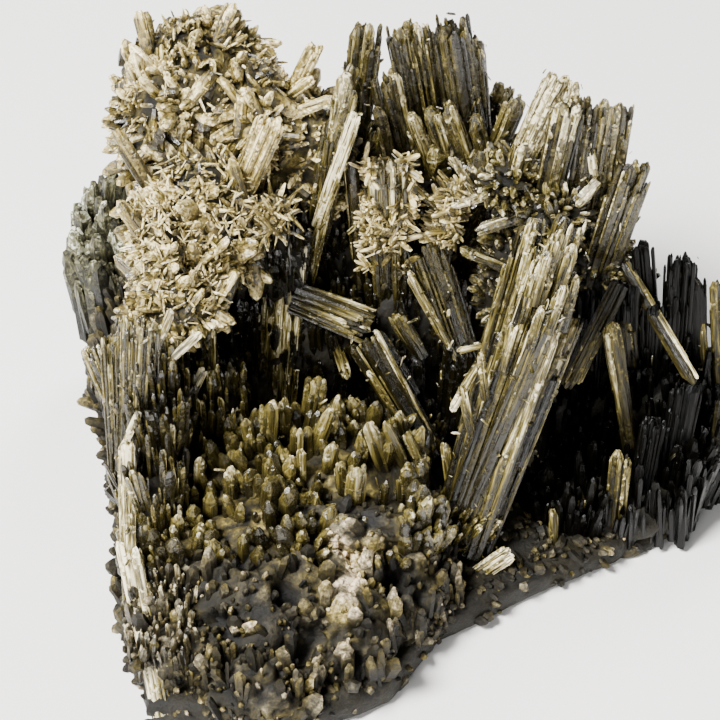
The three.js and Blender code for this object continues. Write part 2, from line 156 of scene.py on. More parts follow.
CENTRE_SPRAY = [
    ((44, 65, 34), (48.5, 89.7, 65), 4.0, 2.8, "olive"),
    ((42.6, 64, 34.5), (49.6, 84.4, 61.5), 2.2, 1.9, "pale"),
    ((43.7, 64, 33), (46.3, 83.3, 57.5), 4.0, 2.8, "brown"),
    ((42.8, 58.5, 28), (45.4, 70.6, 44), 1.5, 1.1, "pale"),
    ((50.6, 54, 20), (48.6, 77.8, 51), 2.7, 2.1, "silver"),
    # These two blades are smoky brown but get paler looks so that they still show in the shade under the
    # mound: painted light.
    ((39.3, 43.5, 12), (40.7, 66.4, 39.5), 4.8, 3.2, "pale"),
    ((36.4, 42.5, 11), (37.8, 63.2, 35), 3.4, 2.8, "olive"),
    ((39.9, 53, 23), (41.8, 60.3, 32), 1.7, 1.3, "pale"),
    ((40.6, 58.8, 31.5), (51.5, 54.6, 27.5), 5.6, 4.0, "silver"),
    ((46.3, 53.4, 25.5), (48.2, 47.4, 19), 1.8, 1.4, "olive"),
    ((60, 37, 8), (50.3, 53, 27), 5.2, 3.6, "brown"),
    ((60.8, 38, 9.5), (52.2, 54.2, 29), 0.9, 0.9, "pale"),
    ((58.6, 50.5, 21), (55, 56.1, 28), 3.4, 2.6, "olive"),
    ((65.5, 47, 15), (59, 66.3, 38), 5.8, 3.4, "brown"),
    ((64.2, 48.5, 18), (56.7, 62.2, 34.5), 1.7, 1.3, "pale"),
    ((60.8, 71, 42), (54.3, 77, 49.5), 1.8, 1.4, "pale"),
    ((53, 41, 7), (51.5, 50, 19), 3.2, 2.6, "dark"),
    ((34.5, 41.5, 10), (34.4, 58, 32), 3.4, 2.6, "dark"),
    ((43.4, 42, 8), (44, 56, 26), 3.6, 2.6, "dark"),
    ((56.5, 39, 5), (57, 51, 21), 5.0, 3.4, "dark"),
    ((62, 39, 5), (64, 53, 23), 5.0, 3.4, "dark"),
    ((47, 42, 7), (47.5, 53, 22), 3.4, 2.5, "dark"),
    ((31.5, 41, 10), (31, 55, 30), 3.6, 2.7, "dark"),
    ((58, 45.5, 16.5), (52.9, 53.9, 27.5), 1.4, 1.1, "brown"),
    ((37.5, 70, 44), (40.2, 66, 41), 1.2, 0.9, "white"),
    ((36, 68.8, 43), (36.4, 64.2, 39), 1.4, 1.1, "pale"),
]
CRUSTED_ARMS = [
    ((54.2, 57, 26), (53.6, 77.8, 51), 6.0, 4.5, "olive"),
    ((61.2, 63, 33), (62.8, 74.6, 46), 3.0, 2.4, "olive"),
]
RIGHT_WALL = [
    ((91, 42, 10), (89, 66.3, 38.5), 3.6, 3.0, "dark"),
    ((93.3, 40.5, 9), (94.6, 64.3, 38), 4.7, 4.0, "dark"),
    ((97.2, 39.5, 7), (97.1, 61.3, 34.5), 2.8, 2.6, "dark"),
    ((104, 40, 7), (104, 58, 30.5), 4.0, 3.4, "dark"),
    ((76.5, 36, 3), (78.5, 58, 32), 4.8, 3.6, "dark"),
    ((81, 36, 3), (82.5, 60, 34.5), 5.0, 3.6, "dark"),
    ((85.8, 36, 3), (86.5, 61, 35.5), 5.0, 3.6, "dark"),
    ((90.2, 36.3, 3), (91, 58, 32), 4.6, 3.4, "dark"),
    ((92, 28.3, 2.5), (95.5, 47, 22), 4.6, 3.6, "dark"),
    ((88, 25.8, 2.5), (91, 42, 19), 4.0, 3.2, "dark"),
    ((102.5, 33, 4), (105.5, 48, 20), 4.0, 3.4, "dark"),
]
RIGHT_BLADES = [
    ((84.4, 67.2, 37), (96.4, 46.8, 25), 2.4, 1.8, "smoky"),
    ((86.1, 60.5, 36.5), (78.8, 46.1, 24), 3.6, 2.6, "brown"),
    ((87.5, 37, 11), (84.7, 55.3, 33.5), 3.2, 2.4, "olive"),
    ((85, 23.8, 2), (86.4, 37.2, 17), 3.6, 3.0, "brown"),
    ((80.6, 23.8, 2), (80.6, 31.7, 10.5), 2.8, 2.2, "brown"),
    ((76.8, 21.8, 2), (76.7, 29.4, 10), 1.8, 1.4, "brown"),
    ((100.5, 39.5, 7), (99.6, 61, 34), 2.8, 2.6, "smoky"),
    ((98.3, 30, 2.5), (100.5, 45, 19), 2.0, 1.8, "smoky"),
    ((85.2, 67.0, 37.5), (96.9, 47.4, 25.6), 0.9, 0.7, "silver"),
    ((98.5, 45, 16), (97.5, 55.6, 28), 1.6, 1.2, "brown"),
    ((88.2, 44, 16), (86.8, 55.8, 30), 2.6, 1.6, "brown"),
]
RIGHT_SPRAY = [
    ((69, 71, 40), (77.8, 89.6, 64), 4.4, 3.2, "pale"),
    ((75.2, 69, 38), (79.2, 85.8, 61), 4.8, 3.4, "silver"),
    ((77, 75, 46), (79.9, 88.5, 63.5), 2.2, 1.7, "pale"),
    ((79.8, 66, 34), (82.9, 86.1, 61), 5.0, 3.8, "brown"),
    ((83.4, 64, 31), (86.7, 85.6, 60), 4.0, 3.4, "brown"),
    ((82.6, 60.5, 30), (88.2, 77, 51), 5.6, 4.6, "brown"),
    ((83, 75, 48), (80, 71.4, 44.5), 1.9, 1.4, "pale"),
    ((70, 73.8, 45), (62.6, 71.6, 43.5), 1.9, 1.4, "pale"),
    ((74, 70.6, 42), (66.1, 68, 40), 2.2, 1.7, "olive"),
    ((74.5, 61, 32.5), (64, 65.3, 39), 2.1, 1.6, "silver"),
    ((70.5, 72, 42), (72.6, 80, 53), 3.0, 2.4, "olive"),
    ((81.9, 80.6, 54.5), (82.5, 75.4, 49), 1.4, 1.1, "pale"),
    ((66, 73, 44.5), (62.6, 78.2, 51), 1.3, 1.0, "pale"),
    ((73.5, 57, 28), (68, 59.3, 34), 1.5, 1.1, "brown"),
]
BACK_SPRAY = [
    ((48.5, 76, 40), (51, 96.5, 67.4), 5.0, 3.0, "brown"),
    ((60.5, 74, 37), (56.3, 96.4, 67.3), 6.4, 3.6, "brown"),
    ((60.8, 78, 43), (57.6, 96.9, 68), 1.6, 1.4, "pale"),
    ((66.8, 70, 32), (62.4, 97, 68), 6.6, 4.4, "smoky"),
    ((66.4, 79, 44), (65.0, 94.7, 65), 4.8, 3.4, "brown"),
    ((67.6, 75.5, 41.5), (72, 86.3, 57), 3.8, 3.0, "olive"),
    ((66.6, 73, 39), (62.2, 85.6, 56.3), 3.2, 2.4, "olive"),
    ((64.4, 72.5, 38.5), (60, 85, 55.5), 3.2, 2.4, "olive"),
    ((61.2, 73, 39), (57.2, 84.4, 54.7), 2.8, 2.2, "olive"),
    ((68.4, 75, 42), (65.8, 84, 54), 2.8, 2.2, "olive"),
    ((58, 70, 33), (53.5, 90, 60), 5.4, 3.4, "brown"),
    ((64, 66, 22), (70, 88, 52), 5.0, 4.0, "brown"),
    ((58, 66, 22), (64, 91, 56), 5.0, 4.0, "brown"),
    ((70, 68, 22), (79, 84, 46), 4.6, 3.6, "brown"),
    ((55, 74, 40.5), (52.5, 85, 55.5), 2.4, 1.8, "olive"),
    ((66.5, 72, 42), (67, 79, 51), 2.6, 2.2, "olive"),
]
UPPER_MOUND = [
    ((33, 72, 46), (37.9, 83.6, 59.5), 4.4, 3.2, "pale"),
    ((18.8, 85, 56.5), (22.6, 89.6, 62), 2.0, 1.5, "pale"),
    ((39, 84, 52), (43.9, 93.8, 64.5), 2.8, 2.1, "pale"),
    ((39.6, 86.4, 56), (43.5, 89.3, 60), 1.7, 1.3, "pale"),
    ((37.5, 83, 54), (46.3, 86.3, 58.5), 1.9, 1.4, "pale"),
    ((27.5, 63.4, 43), (31.8, 66.7, 47), 1.5, 1.1, "pale"),
    ((20, 57.5, 38), (22, 61, 45), 1.8, 1.4, "pale"),
    ((23, 78, 50), (25.4, 83, 57.5), 4.0, 3.0, "olive"),
    ((22, 64, 44), (16.5, 72, 52), 2.6, 2.0, "olive"),
    ((21.5, 73, 49), (16, 82, 60), 2.6, 2.0, "olive"),
    ((21, 92, 62), (19.5, 98.6, 68), 2.6, 2.0, "olive"),
    ((30, 93, 63), (32.5, 99.6, 69), 2.4, 2.0, "olive"),
    ((26.7, 58, 40), (26.7, 62.4, 45.5), 1.3, 1.0, "pale"),
    ((30, 57.6, 38.5), (32.9, 62.1, 44.5), 1.3, 1.0, "pale"),
]

# Lumps of massive epidote and rock: middle and half sizes, in the layout's own millimetres.
FRONT_LUMPS = [
    (-15, -25, 6, 19, 15, 13), (-25.5, -18, 7, 8.5, 17, 12), (3, -20, 4, 11, 11, 12), (-9, -9, 5, 25, 10, 12),
    (-13, -37, 5, 9, 6, 7), (-24, -31, 8, 8, 7, 8), (-3, -31, 7, 8, 7, 8),
]
BACK_ROCK_LUMPS = [
    (-25, 20, 10, 16, 20, 22), (6, 27, 8, 24, 12, 18), (36, 18, 5, 18, 12, 11), (30, -3, 1, 16, 8, 3),
]
LEDGE = (-3.3, -19.5, 17.0, 11.5, 3.2, 2.8)
FIBROUS = [(-25.5, -18, 7, 8.5, 17, 12), (-24, -31, 8, 8, 7, 8), (-25.5, -12, 14, 8.5, 10, 9)]

# Marks on the front of the rock: across, up, radius, push, tone
TAN_PATCH = [
    (47.0, 24.6, 2.6, 0.3, 0.74), (51.5, 24.6, 2.6, 0.3, 0.70), (55.0, 24.2, 2.0, 0.3, 0.60),
    (48.6, 21.2, 3.4, 0.5, 0.78), (48.0, 18.2, 3.4, 0.6, 0.80), (47.6, 15.2, 3.2, 0.5, 0.78),
    (45.0, 17.0, 2.2, 0.3, 0.64),
]
# Pits in the front of the rock, pushed in; their tone of 0 is painted shade inside them.
CAVITIES = [
    (40.2, 17.8, 2.8, -3.2, 0.0), (44.2, 21.8, 1.8, -2.6, 0.0), (54.8, 19.4, 2.8, -3.2, 0.0),
    (53.4, 21.8, 1.6, -2.4, 0.0), (43.6, 11.7, 2.6, -2.8, 0.0), (41.8, 9.0, 2.2, -2.4, 0.0),
    (33.3, 22.2, 1.9, -2.4, 0.0), (29.9, 13.9, 1.7, -2.2, 0.0), (49.6, 8.3, 2.0, -2.4, 0.0),
    (58.3, 16.7, 1.8, -2.0, 0.0),
]
MAIN_LUMPS = [(14, -11, 8, 7, 5, 6)]
DRUSE_LUMPS = [
    (-20, -9, 14, 16, 11, 7), (-3, -6, 13, 16, 11, 7), (-14, -20, 15, 13, 7, 6), (3, -17, 12, 10, 7, 6),
    (-25, -22, 14, 8, 6, 6),
]
LEFT_LUMPS = [(-28, -9, 27, 6.5, 9, 12), (-28, -18, 20, 5.5, 8, 8), (-23, -2, 20, 9, 7, 9)]
CENTRE_LUMPS = [
    (-7, 14, 20, 16, 7, 14), (8, 16, 22, 13, 6, 15), (2, 7, 7, 18, 7, 7), (-5, 21, 30, 9, 5, 17),
    (6, 22, 30, 10, 5, 16), (-12, 15, 36, 7, 7, 11),
]
WALL_LUMPS = [(33, 10, 9, 13, 7, 11), (44, 10, 10, 13, 8, 13), (36, -3, 5, 17, 9, 5), (48, 3, 5, 9, 6, 7)]
RIGHT_LUMPS = [
    (24, 18, 28, 8, 6, 13), (20.5, 21, 45, 6, 5, 5), (27.5, 17.4, 42, 5, 4, 4.5), (35, 18, 28, 7, 5, 10),
]
BACK_LUMPS = [(10, 29, 34, 15, 7, 16), (17, 33.5, 20, 24, 8.5, 14)]
MOUND_LUMPS = [
    (-22.5, 30, 53, 12, 11, 14), (-28, 25, 51, 6.5, 9, 13), (-15, 26, 52, 6, 8, 11),
    (-22.5, 16, 43, 10, 12.5, 12.5), (-27, 9, 42, 4.5, 9, 10), (-25.5, 3, 38, 6.5, 6.5, 6.5),
    (-8, 25, 46, 8, 7, 11),
]
RIB_LUMPS = [(-37, 30, 19, 7, 12, 13), (-24, 36, 33, 11, 7, 16)]
UNDERSIDE = [
    (-28, -41), (-10, -44), (4, -37), (11, -26), (20, -20.5), (27, -16), (37, -11), (47, -1), (55, 3),
    (57, 13), (48, 24), (33, 32), (12, 37), (-14, 40), (-32, 37), (-41, 26), (-38, 8), (-34.5, -10),
    (-33, -25),
]

# The shape of a prism: sides, unevenness of its section, where along the shaft its rings lie and how wide
# they are, width left at the very end, and length of the pointed end in widths.
Form = namedtuple("Form", "sides ridge shaft girth end point")
LATH = Form(8, 0.17, (0, 0.5, 1), (0.9, 1.0, 0.97), 0.45, 0.6)
STUB = Form(7, 0.13, (0, 0.6, 1), (0.95, 1.04, 0.95), 0.35, 0.55)
KNOB = Form(5, 0.22, (0, 1), (1.0, 1.02), 0.5, 0.45)
NEEDLE = Form(5, 0.12, (0, 1), (1.0, 0.9), 0.3, 1.5)
FLAKE = Form(5, 0.22, (0, 1), (0.9, 1.0), 0.5, 0.7)

# How small crystals grow on a surface: how far they follow its facing, a lean, a sway that neighbours share,
# a jitter of their own, lengths, widths against the length, thickness against the width, tones, and how much
# of the tone is left at the root, a darkening towards the root that is painted shade.
Growth = namedtuple("Growth", "grip lean sway jitter length width flatness tone left")
DUST = Growth(0.25, (0, 0, 0.4), 0.4, 0.5, (0.5, 1.9), (0.2, 0.4), 0.6, (0.3, 0.8), 0.7)
FRONT_PRISMS = Growth(0.45, (0, -0.05, 0.9), 0.35, 0.2, (1.8, 5.0), (0.34, 0.58), 0.85, (0.14, 0.52), 0.15)
FRONT_FIBRES = Growth(0.05, (0, -0.08, 1), 0.15, 0.08, (2.5, 7.0), (0.14, 0.26), 0.8, (0.12, 0.52), 0.3)
FRONT_GRAINS = Growth(0.8, (0, -0.05, 0.9), 0.35, 0.2, (0.8, 2.2), (0.40, 0.70), 0.85, (0.10, 0.50), 0.1)
BACK_PRISMS = Growth(0.5, (0, 0, 0.8), 0.5, 0.25, (1.2, 5.5), (0.22, 0.45), 0.85, (0.08, 0.42), 0.15)
RIM_GRAINS = Growth(1.0, (0, 0, 0.2), 0.4, 0.4, (0.7, 2.6), (0.5, 0.8), 0.85, (0.08, 0.5), 0.3)
FLANK_FIBRES = Growth(0.05, (0, -0.05, 1), 0.12, 0.06, (2.5, 8.0), (0.10, 0.18), 0.7, (0.14, 0.66), 0.6)
MAIN_FOOT = Growth(0.5, (0.5, 0.3, 1.2), 0.2, 0.2, (2.0, 5.0), (0.2, 0.35), 0.6, (0.3, 0.6), 0.3)
DRUSE_STUBS = Growth(0.3, (0, -0.05, 1.2), 0.3, 0.15, (3.0, 8.5), (0.25, 0.38), 0.8, (0.2, 0.55), 0.1)
LEFT_LATHS = Growth(0.1, (-0.03, 0, 1), 0.1, 0.05, (5.0, 12.0), (0.06, 0.13), 0.6, (0.1, 0.55), 0.3)
# The near-black tones of the laths in the central hollow are partly painted shade.
CENTRE_LATHS = Growth(0.12, (0, 0, 1), 0.15, 0.06, (3.0, 7.5), (0.12, 0.22), 0.6, (0.03, 0.2), 0.3)
PYRAMID_CRUST = Growth(0.6, (0, -0.1, 0.4), 0.9, 0.6, (1.0, 4.5), (0.12, 0.28), 0.6, (0.4, 1.0), 0.5)
# The near-black tones of the laths on the right wall are partly painted shade.
WALL_LATHS = Growth(0.12, (0, 0, 1), 0.15, 0.06, (4.0, 12.0), (0.09, 0.18), 0.7, (0.01, 0.09), 0.3)
RIGHT_CRUST = Growth(1.0, (0, 0, 0.5), 0.6, 0.3, (1.2, 4.0), (0.25, 0.5), 0.7, (0.12, 0.6), 0.3)
BACK_LATHS = Growth(0.35, (0, 0, 1), 0.4, 0.2, (2.0, 8.5), (0.14, 0.28), 0.6, (0.12, 0.52), 0.2)
MOUND_STUBS = Growth(0.4, (0, -0.1, 0.5), 1.1, 0.5, (3.0, 7.5), (0.26, 0.42), 0.7, (0.40, 0.74), 0.3)
MOUND_FLAKES = Growth(0.45, (0, -0.1, 0.3), 1.1, 0.5, (0.9, 3.6), (0.30, 0.55), 0.55, (0.22, 0.86), 0.35)
MAT_NEEDLES = Growth(0.6, (0, 0, 0.2), 0.5, 0.8, (1.1, 3.6), (0.10, 0.20), 0.8, (0.55, 1.0), 0.8)
ROSETTE_NEEDLES = Growth(1.0, (0, 0, 0), 0.0, 0.3, (2.5, 7.5), (0.07, 0.13), 0.7, (0.4, 0.9), 0.5)
RIB_LATHS = Growth(0.06, (-0.02, 0, 1), 0.1, 0.05, (4.0, 12.0), (0.16, 0.36), 0.8, (0.22, 0.55), 0.4)

# Seeds of the random draws of the rock, the mound, its mat and ribs, the crusted arms and the leaning blades
ROCK_SEED = 3
MOUND_SEED = 28
MAT_SEED = 29
ARM_SEED = 34
BLADE_SEED = 36

# Relief of a lump's surface: depth and width of its knobs, and the seed of its random fields.
Relief = namedtuple("Relief", "bump knob seed")
FRONT_RELIEF = Relief(1.3, 3.6, ROCK_SEED)
BACK_RELIEF = Relief(0.9, 3.4, ROCK_SEED + 1)
ROOT_BUMP = 0.5
ROOT_KNOB = 2.6
RIB_RELIEF = Relief(ROOT_BUMP, ROOT_KNOB, MAT_SEED + 1)

# Points round and up a lump
FRONT_GRID = (92, 46)
BACK_GRID = (56, 28)
ROOT_GRID = (40, 20)

# Laths of a bundle: how far they overlap, the most of them, and steps that spread points evenly over a square
OVERLAP = 2.4
FEWEST_LATHS = 5
MOST_LATHS = 110
SPREAD_STEPS = np.array([0.7548777, 0.5698403])

# How far in from the edge grains cover the top of the foot
TOP_SHARE = 0.4

# What grows on the front of the rock: how many, how high up, and how
FRONT_COVERS = [(1200, 40, FRONT_PRISMS), (1500, 11, FRONT_FIBRES), (3400, 40, FRONT_GRAINS)]

# Share of their size that lumps keep under their cover: front, back, fibres, needle mat, ribs
FRONT_CORE = 0.92
BACK_CORE = 0.95
FIBROUS_CORE = 0.86
MAT_CORE = 0.91
RIB_CORE = 0.8

# Tones of bare rock and ribs
# The foot's low tone is painted shade: it darkens the foot as if it lay in shadow.
FOOT_TONE = 0.15
FRONT_TONE = 0.26
BACK_TONE = 0.30
RIB_TONE = 0.2

# How many grains, fibres, needles and laths there are, and how low the fibres reach
BACK_COUNT = 2900
RIM_COUNT = 1900
FIBRE_COUNT = 3000
MAT_COUNT = 7000
RIB_COUNT = 900
FIBRE_LOWEST = 4.0

# Index of refraction, and depth of the relief that is drawn by shading alone
EPIDOTE_IOR = 1.73
ROCK_IOR = 1.6
LINE_DEPTH = 0.25
ROCK_DEPTH = 0.4

# Sizes of the patterns in the materials: width and length of growth lines, cloudy zones, grains of the crust,
# grains of the rock and its patches. Real growth lines are 0.2 mm apart, drawn twice as coarse to show.
LINE_WIDTH = 0.4
LINE_LENGTH = 5.0
CLOUD_SIZE = 2.0
CRUST_GRAIN = 0.43
ROCK_GRAIN = 0.7
ROCK_PATCH = 6.0

# Sizes of shared random fields: tones of neighbours, sway of neighbours, bare patches
TONE_SIZE = 5.0
SWAY_SIZE = 6.0
PATCH_SIZE = 4.0

# The needle mat: its place, how far off its needles end and start to thin out, and the share that stray
MAT_MIDDLE = (25.5, 66.5, 48)
MAT_REACH = (16.0, 7.0)
MAT_STRAYS = 0.12

# The rosette of needles beside it: its place, how many there are, and how far apart they root
ROSETTE_MIDDLE = (37.8, 70.1, 46)
ROSETTE_COUNT = 130
ROSETTE_SPREAD = 1.2

# Crust on the arms: crystals per square mm, and how far the field of bare patches must reach for them
ARM_DENSITY = 9.0
ARM_GAPS = -0.25

# Lights: name, place in metres, width in metres, power against the key light
LIGHTS = [
    ("key_light", (-0.34, -0.26, 0.60), 0.24, 1.0),
    ("front_light", (-0.20, -0.70, 0.40), 0.40, 0.15),
    ("back_light", (0.20, 0.55, 0.55), 0.25, 0.23),
]
FLOOR_HALF = 4.0
SKY_STRENGTH = 0.12
SENSOR_WIDTH = 36.0


def unit(vectors):
    """Vectors of length one."""
    return vectors / np.linalg.norm(vectors, axis=-1, keepdims=True)


def smooth(value, low=0.0, high=1.0):
    """Rises from 0 at low to 1 at high without a corner."""
    part = np.clip((value - low) / (high - low), 0.0, 1.0)
    return part * part * (3.0 - 2.0 * part)


def sights(across, up):
    """Ways from the eye to spots of the picture plane."""
    middle = VIEW_SIDE / 2
    return VIEW_MIDDLE + np.outer(across - middle, (1, 0, 0)) + np.outer(up - middle, PICTURE_UP) - EYE


def placed(places):
    """Points of layout places: each sight line from the eye is cut at its height above the table."""
    places = np.asarray(places, float).reshape(-1, 3)
    sight = sights(places[:, 0], places[:, 1])
    reach = (places[:, 2] - EYE[2]) / sight[:, 2]
    return EYE + sight * reach[:, None] - BOX_MIDDLE


def seen(lumps, across, up):
    """The point of a heap of lumps that shows at a spot of the picture plane: the nearest to the eye."""
    sight = sights(across, up)[0]
    start, step = (EYE - lumps[:, :3]) / lumps[:, 3:], sight / lumps[:, 3:]
    square, cross = np.sum(step * step, axis=1), np.sum(start * step, axis=1)
    root = cross * cross - square * (np.sum(start * start, axis=1) - 1)
    reach = np.where(root > 0, (-cross - np.sqrt(np.maximum(root, 0))) / square, np.inf)
    return EYE + sight * reach.min() - BOX_MIDDLE


def lattice(cells, seed):
    """A fixed random number from -1 to 1 for each whole-numbered cell, by mixing its numbers' bits."""
    mixed = cells[..., 0] * 73856093 ^ cells[..., 1] * 19349663 ^ cells[..., 2] * 83492791 ^ seed * 2654435
    mixed = (mixed ^ (mixed >> 13)) * 1274126177 & 0xFFFFFFFF
    mixed = (mixed ^ (mixed >> 15)) * 739981 & 0xFFFFFFFF
    return mixed / 2.0**31 - 1.0


def noise(points, size, seed, octaves=2):
    """Smooth random field: lattice numbers of that size in mm, blended, each octave half as large."""
    total = np.zeros(points.shape[:-1])
    for octave in range(octaves):
        spot = points * (2.0**octave / size)
        cell = np.floor(spot).astype(np.int64)
        part = smooth(spot - cell)
        for corner in np.ndindex(2, 2, 2):
            weight = np.prod(np.where(corner, part, 1 - part), axis=-1)
            total += weight * lattice(cell + np.array(corner), seed + octave) / 2.0**octave
    return total


class Shells:
    """Gathers closed shells as arrays until they become one mesh."""

    def __init__(self):
        self.points, self.corners, self.sizes, self.flat, self.shade, self.grain = [], [], [], [], [], []
        self.count = 0

    def add(self, points, faces, shade, grain, flat):
        """Adds points, lists of faces by point number, a tone and a growth position per point.

        Points below the table are lifted to it, so that whatever stands on it is flat underneath.
        """
        for group in faces:
            self.corners.append((group + self.count).ravel())
            self.sizes.append(np.full(len(group), group.shape[1]))
            self.flat.append(np.full(len(group), flat))
        points[:, 2] = np.maximum(points[:, 2], 0.0)
        self.points.append(points)
        self.shade.append(shade)
        self.grain.append(grain)
        self.count += len(points)

    def mesh(self, name):
        """One mesh of everything gathered, in metres, with its tone and growth attributes."""
        mesh = bpy.data.meshes.new(name)
        sizes = np.concatenate(self.sizes)
        corners = np.concatenate(self.corners).astype(np.int32)
        mesh.vertices.add(self.count)
        mesh.vertices.foreach_set("co", (np.concatenate(self.points) * MM).astype(np.float32).ravel())
        mesh.loops.add(len(corners))
        mesh.loops.foreach_set("vertex_index", corners)
        mesh.polygons.add(len(sizes))
        mesh.polygons.foreach_set("loop_start", (np.cumsum(sizes) - sizes).astype(np.int32))
        flat = np.concatenate(self.flat)
        mesh.attributes.new("sharp_face", "BOOLEAN", "FACE").data.foreach_set("value", flat)
        shade = np.concatenate(self.shade).astype(np.float32)
        mesh.attributes.new("shade", "FLOAT", "POINT").data.foreach_set("value", shade)
        grain = np.concatenate(self.grain).astype(np.float32).ravel()
        mesh.attributes.new("grain", "FLOAT_VECTOR", "POINT").data.foreach_set("vector", grain)
        mesh.update()
        return mesh


def add_prisms(shells, form, laths, rng):
    """Adds one prism per lath.

    A ring of points, uneven so that its corners make ridges, is carried along each straight axis. It keeps
    its size up the shaft, then shrinks and slants to a chisel end. The tone rises from root to tip, a painted
    shade that darkens the crystal towards its root, and is lighter on the ridges, partly pale wear and partly
    a painted highlight where the ridges catch the light; the frosted tips are paler still.
    """
    root, tip, side, width, thickness, tone, left, low, high = (np.asarray(item, float) for item in laths)
    count, sides, rings = len(root), form.sides, len(form.shaft) + 1
    axis = tip - root
    length = np.linalg.norm(axis, axis=1)
    axis = axis / length[:, None]
    across = unit(side - axis * np.sum(side * axis, axis=1, keepdims=True))
    front = np.cross(axis, across)
    angle = 2 * np.pi * (np.arange(sides) + 0.5) / sides
    reach = 1 + form.ridge * rng.uniform(-1, 1, (count, sides))
    point = np.clip(form.point * width / length, 0.02, 0.5)
    along = np.concatenate([np.outer(1 - point, form.shaft), np.ones((count, 1))], axis=1)
    girth = np.append(form.girth, form.end) * rng.uniform(0.93, 1.07, (count, rings))
    ring_x = girth[:, :, None] * (np.cos(angle) * reach * width[:, None] / 2)[:, None, :]
    ring_y = girth[:, :, None] * (np.sin(angle) * reach * thickness[:, None] / 2)[:, None, :]
    slant = np.zeros((count, rings, 1))
    slant[:, -2:, 0] = rng.uniform(-0.7, 0.7, (count, 1))
    rise = along[:, :, None] * length[:, None, None] + slant * ring_x
    points = (
        root[:, None, None]
        + axis[:, None, None] * rise[..., None]
        + across[:, None, None] * ring_x[..., None]
        + front[:, None, None] * ring_y[..., None]
    )
    whole = (low[:, None] + (high - low)[:, None] * along)[:, :, None]
    ridge = ((reach - 1) / form.ridge)[:, None, :]
    # Painted shade: the tone falls towards the root.
    shade = tone[:, None, None] * (left[:, None, None] + (1 - left)[:, None, None] * smooth(whole, 0.0, 0.75))
    # Painted highlight on the ridges, partly pale wear; the frosted tips are paler.
    shade = shade * (1 + 0.16 * ridge + 0.18 * smooth(whole, 0.85, 1.0))
    grain = np.stack([ring_x, ring_y, rise], axis=-1) + rng.uniform(0, 60, (count, 1, 1, 3))
    number = np.arange(count * rings * sides).reshape(count, rings, sides)
    turned = np.roll(number, -1, axis=2)
    walls = np.stack([number[:, :-1], turned[:, :-1], turned[:, 1:], number[:, 1:]], axis=-1).reshape(-1, 4)
    ends = np.concatenate([number[:, -1], number[:, 0, ::-1]])
    shells.add(points.reshape(-1, 3), [walls, ends], shade.ravel(), grain.reshape(-1, 3), True)


def crystal_axes(crystal):
    """Root, tip, length along, across and front directions of a crystal; its width lies across the view."""
    root, tip = placed(crystal[:2])
    length = np.linalg.norm(tip - root)
    axis = (tip - root) / length
    across = unit(np.cross(axis, TO_EYE))
    return root, tip, length, axis, across, np.cross(axis, across)


def bundle(crystal, rng, lath_scale):
    """Laths of one crystal: a few broad prisms and many thin ones over its section, with stepped ends."""
    width, thickness, look = crystal[2:]
    lath, tone, spread, left, step = LOOKS[look]
    lath = min(lath * lath_scale, width * 0.55)
    root, tip, length, axis, across, front = crystal_axes(crystal)
    count = int(np.clip(OVERLAP * width * thickness / (lath * lath), FEWEST_LATHS, MOST_LATHS))
    order = np.arange(count)
    broad = 2.1 * np.exp(-1.6 * np.sqrt(order / count))
    wide = np.minimum(lath * broad, width * 0.75)
    deep = np.minimum(wide * rng.uniform(0.55, 0.95, count), thickness * 0.75)
    around = (np.outer(order, SPREAD_STEPS) + rng.uniform(0, 1, 2)) % 1 * 2 - 1
    around[:, 1] *= np.sqrt(1 - 0.5 * around[:, 0] ** 2)
    outer = np.abs(around).max(axis=1)
    offset = np.outer(around[:, 0] * (width - wide) / 2, across)
    offset += np.outer(around[:, 1] * (thickness - deep) / 2, front)
    high = 1 - step * rng.uniform(0, 1, count) ** 1.3 * (0.3 + 0.7 * outer)
    high[0] = 1.0
    low = np.where(rng.uniform(0, 1, count) < 0.3, rng.uniform(0, 0.6, count) * high, 0.0)
    start = root + offset * 0.85
    finish = tip + offset * rng.uniform(0.92, 1.08, (count, 1)) + rng.normal(0, 0.018 * width, (count, 3))
    lath_root = start + (finish - start) * low[:, None]
    lath_tip = start + (finish - start) * high[:, None]
    roll = rng.normal(0, 0.35, count)
    side = np.outer(np.cos(roll), across) + np.outer(np.sin(roll), front)
    lath_tone = tone + spread * rng.uniform(-1, 1, count)
    return [lath_root, lath_tip, side, wide, deep, lath_tone, np.full(count, left), low, high]


def bundles(crystals, rng, lath_scale):
    """Laths of several crystals as one set."""
    sets = [bundle(crystal, rng, lath_scale) for crystal in crystals]
    return [np.concatenate(items) for items in zip(*sets)]


def on_crystals(crystals, density, rng, low, high):
    """Points on the sides of crystals, so many per square mm of length and width, with the way out there."""
    spots, facing = [], []
    for crystal in crystals:
        width, thickness = crystal[2:4]
        root, tip, length, axis, across, front = crystal_axes(crystal)
        count = int(density * length * width) + 1
        turn = rng.uniform(0, 2 * np.pi, count)
        out = np.outer(np.cos(turn) * width / 2, across) + np.outer(np.sin(turn) * thickness / 2, front)
        spots.append(root + np.outer(rng.uniform(low, high, count) * length, axis) + out)
        facing.append(unit(out))
    return np.concatenate(spots), np.concatenate(facing)


def knobs_at(points, size, seed):
    """Rounded knobs packed side by side: 1 at the top of a knob, 0 in the creases between its neighbours."""
    spot = points / size
    cell = np.floor(spot).astype(np.int64)
    nearest = np.full(points.shape[:-1], np.inf)
    for step in np.ndindex(3, 3, 3):
        home = cell + np.array(step) - 1
        middle = home + 0.5 + 0.42 * np.stack([lattice(home, seed + part) for part in range(3)], axis=-1)
        nearest = np.minimum(nearest, np.sum((spot - middle) ** 2, axis=-1))
    return np.sqrt(np.clip(1 - nearest / 0.55, 0, 1))


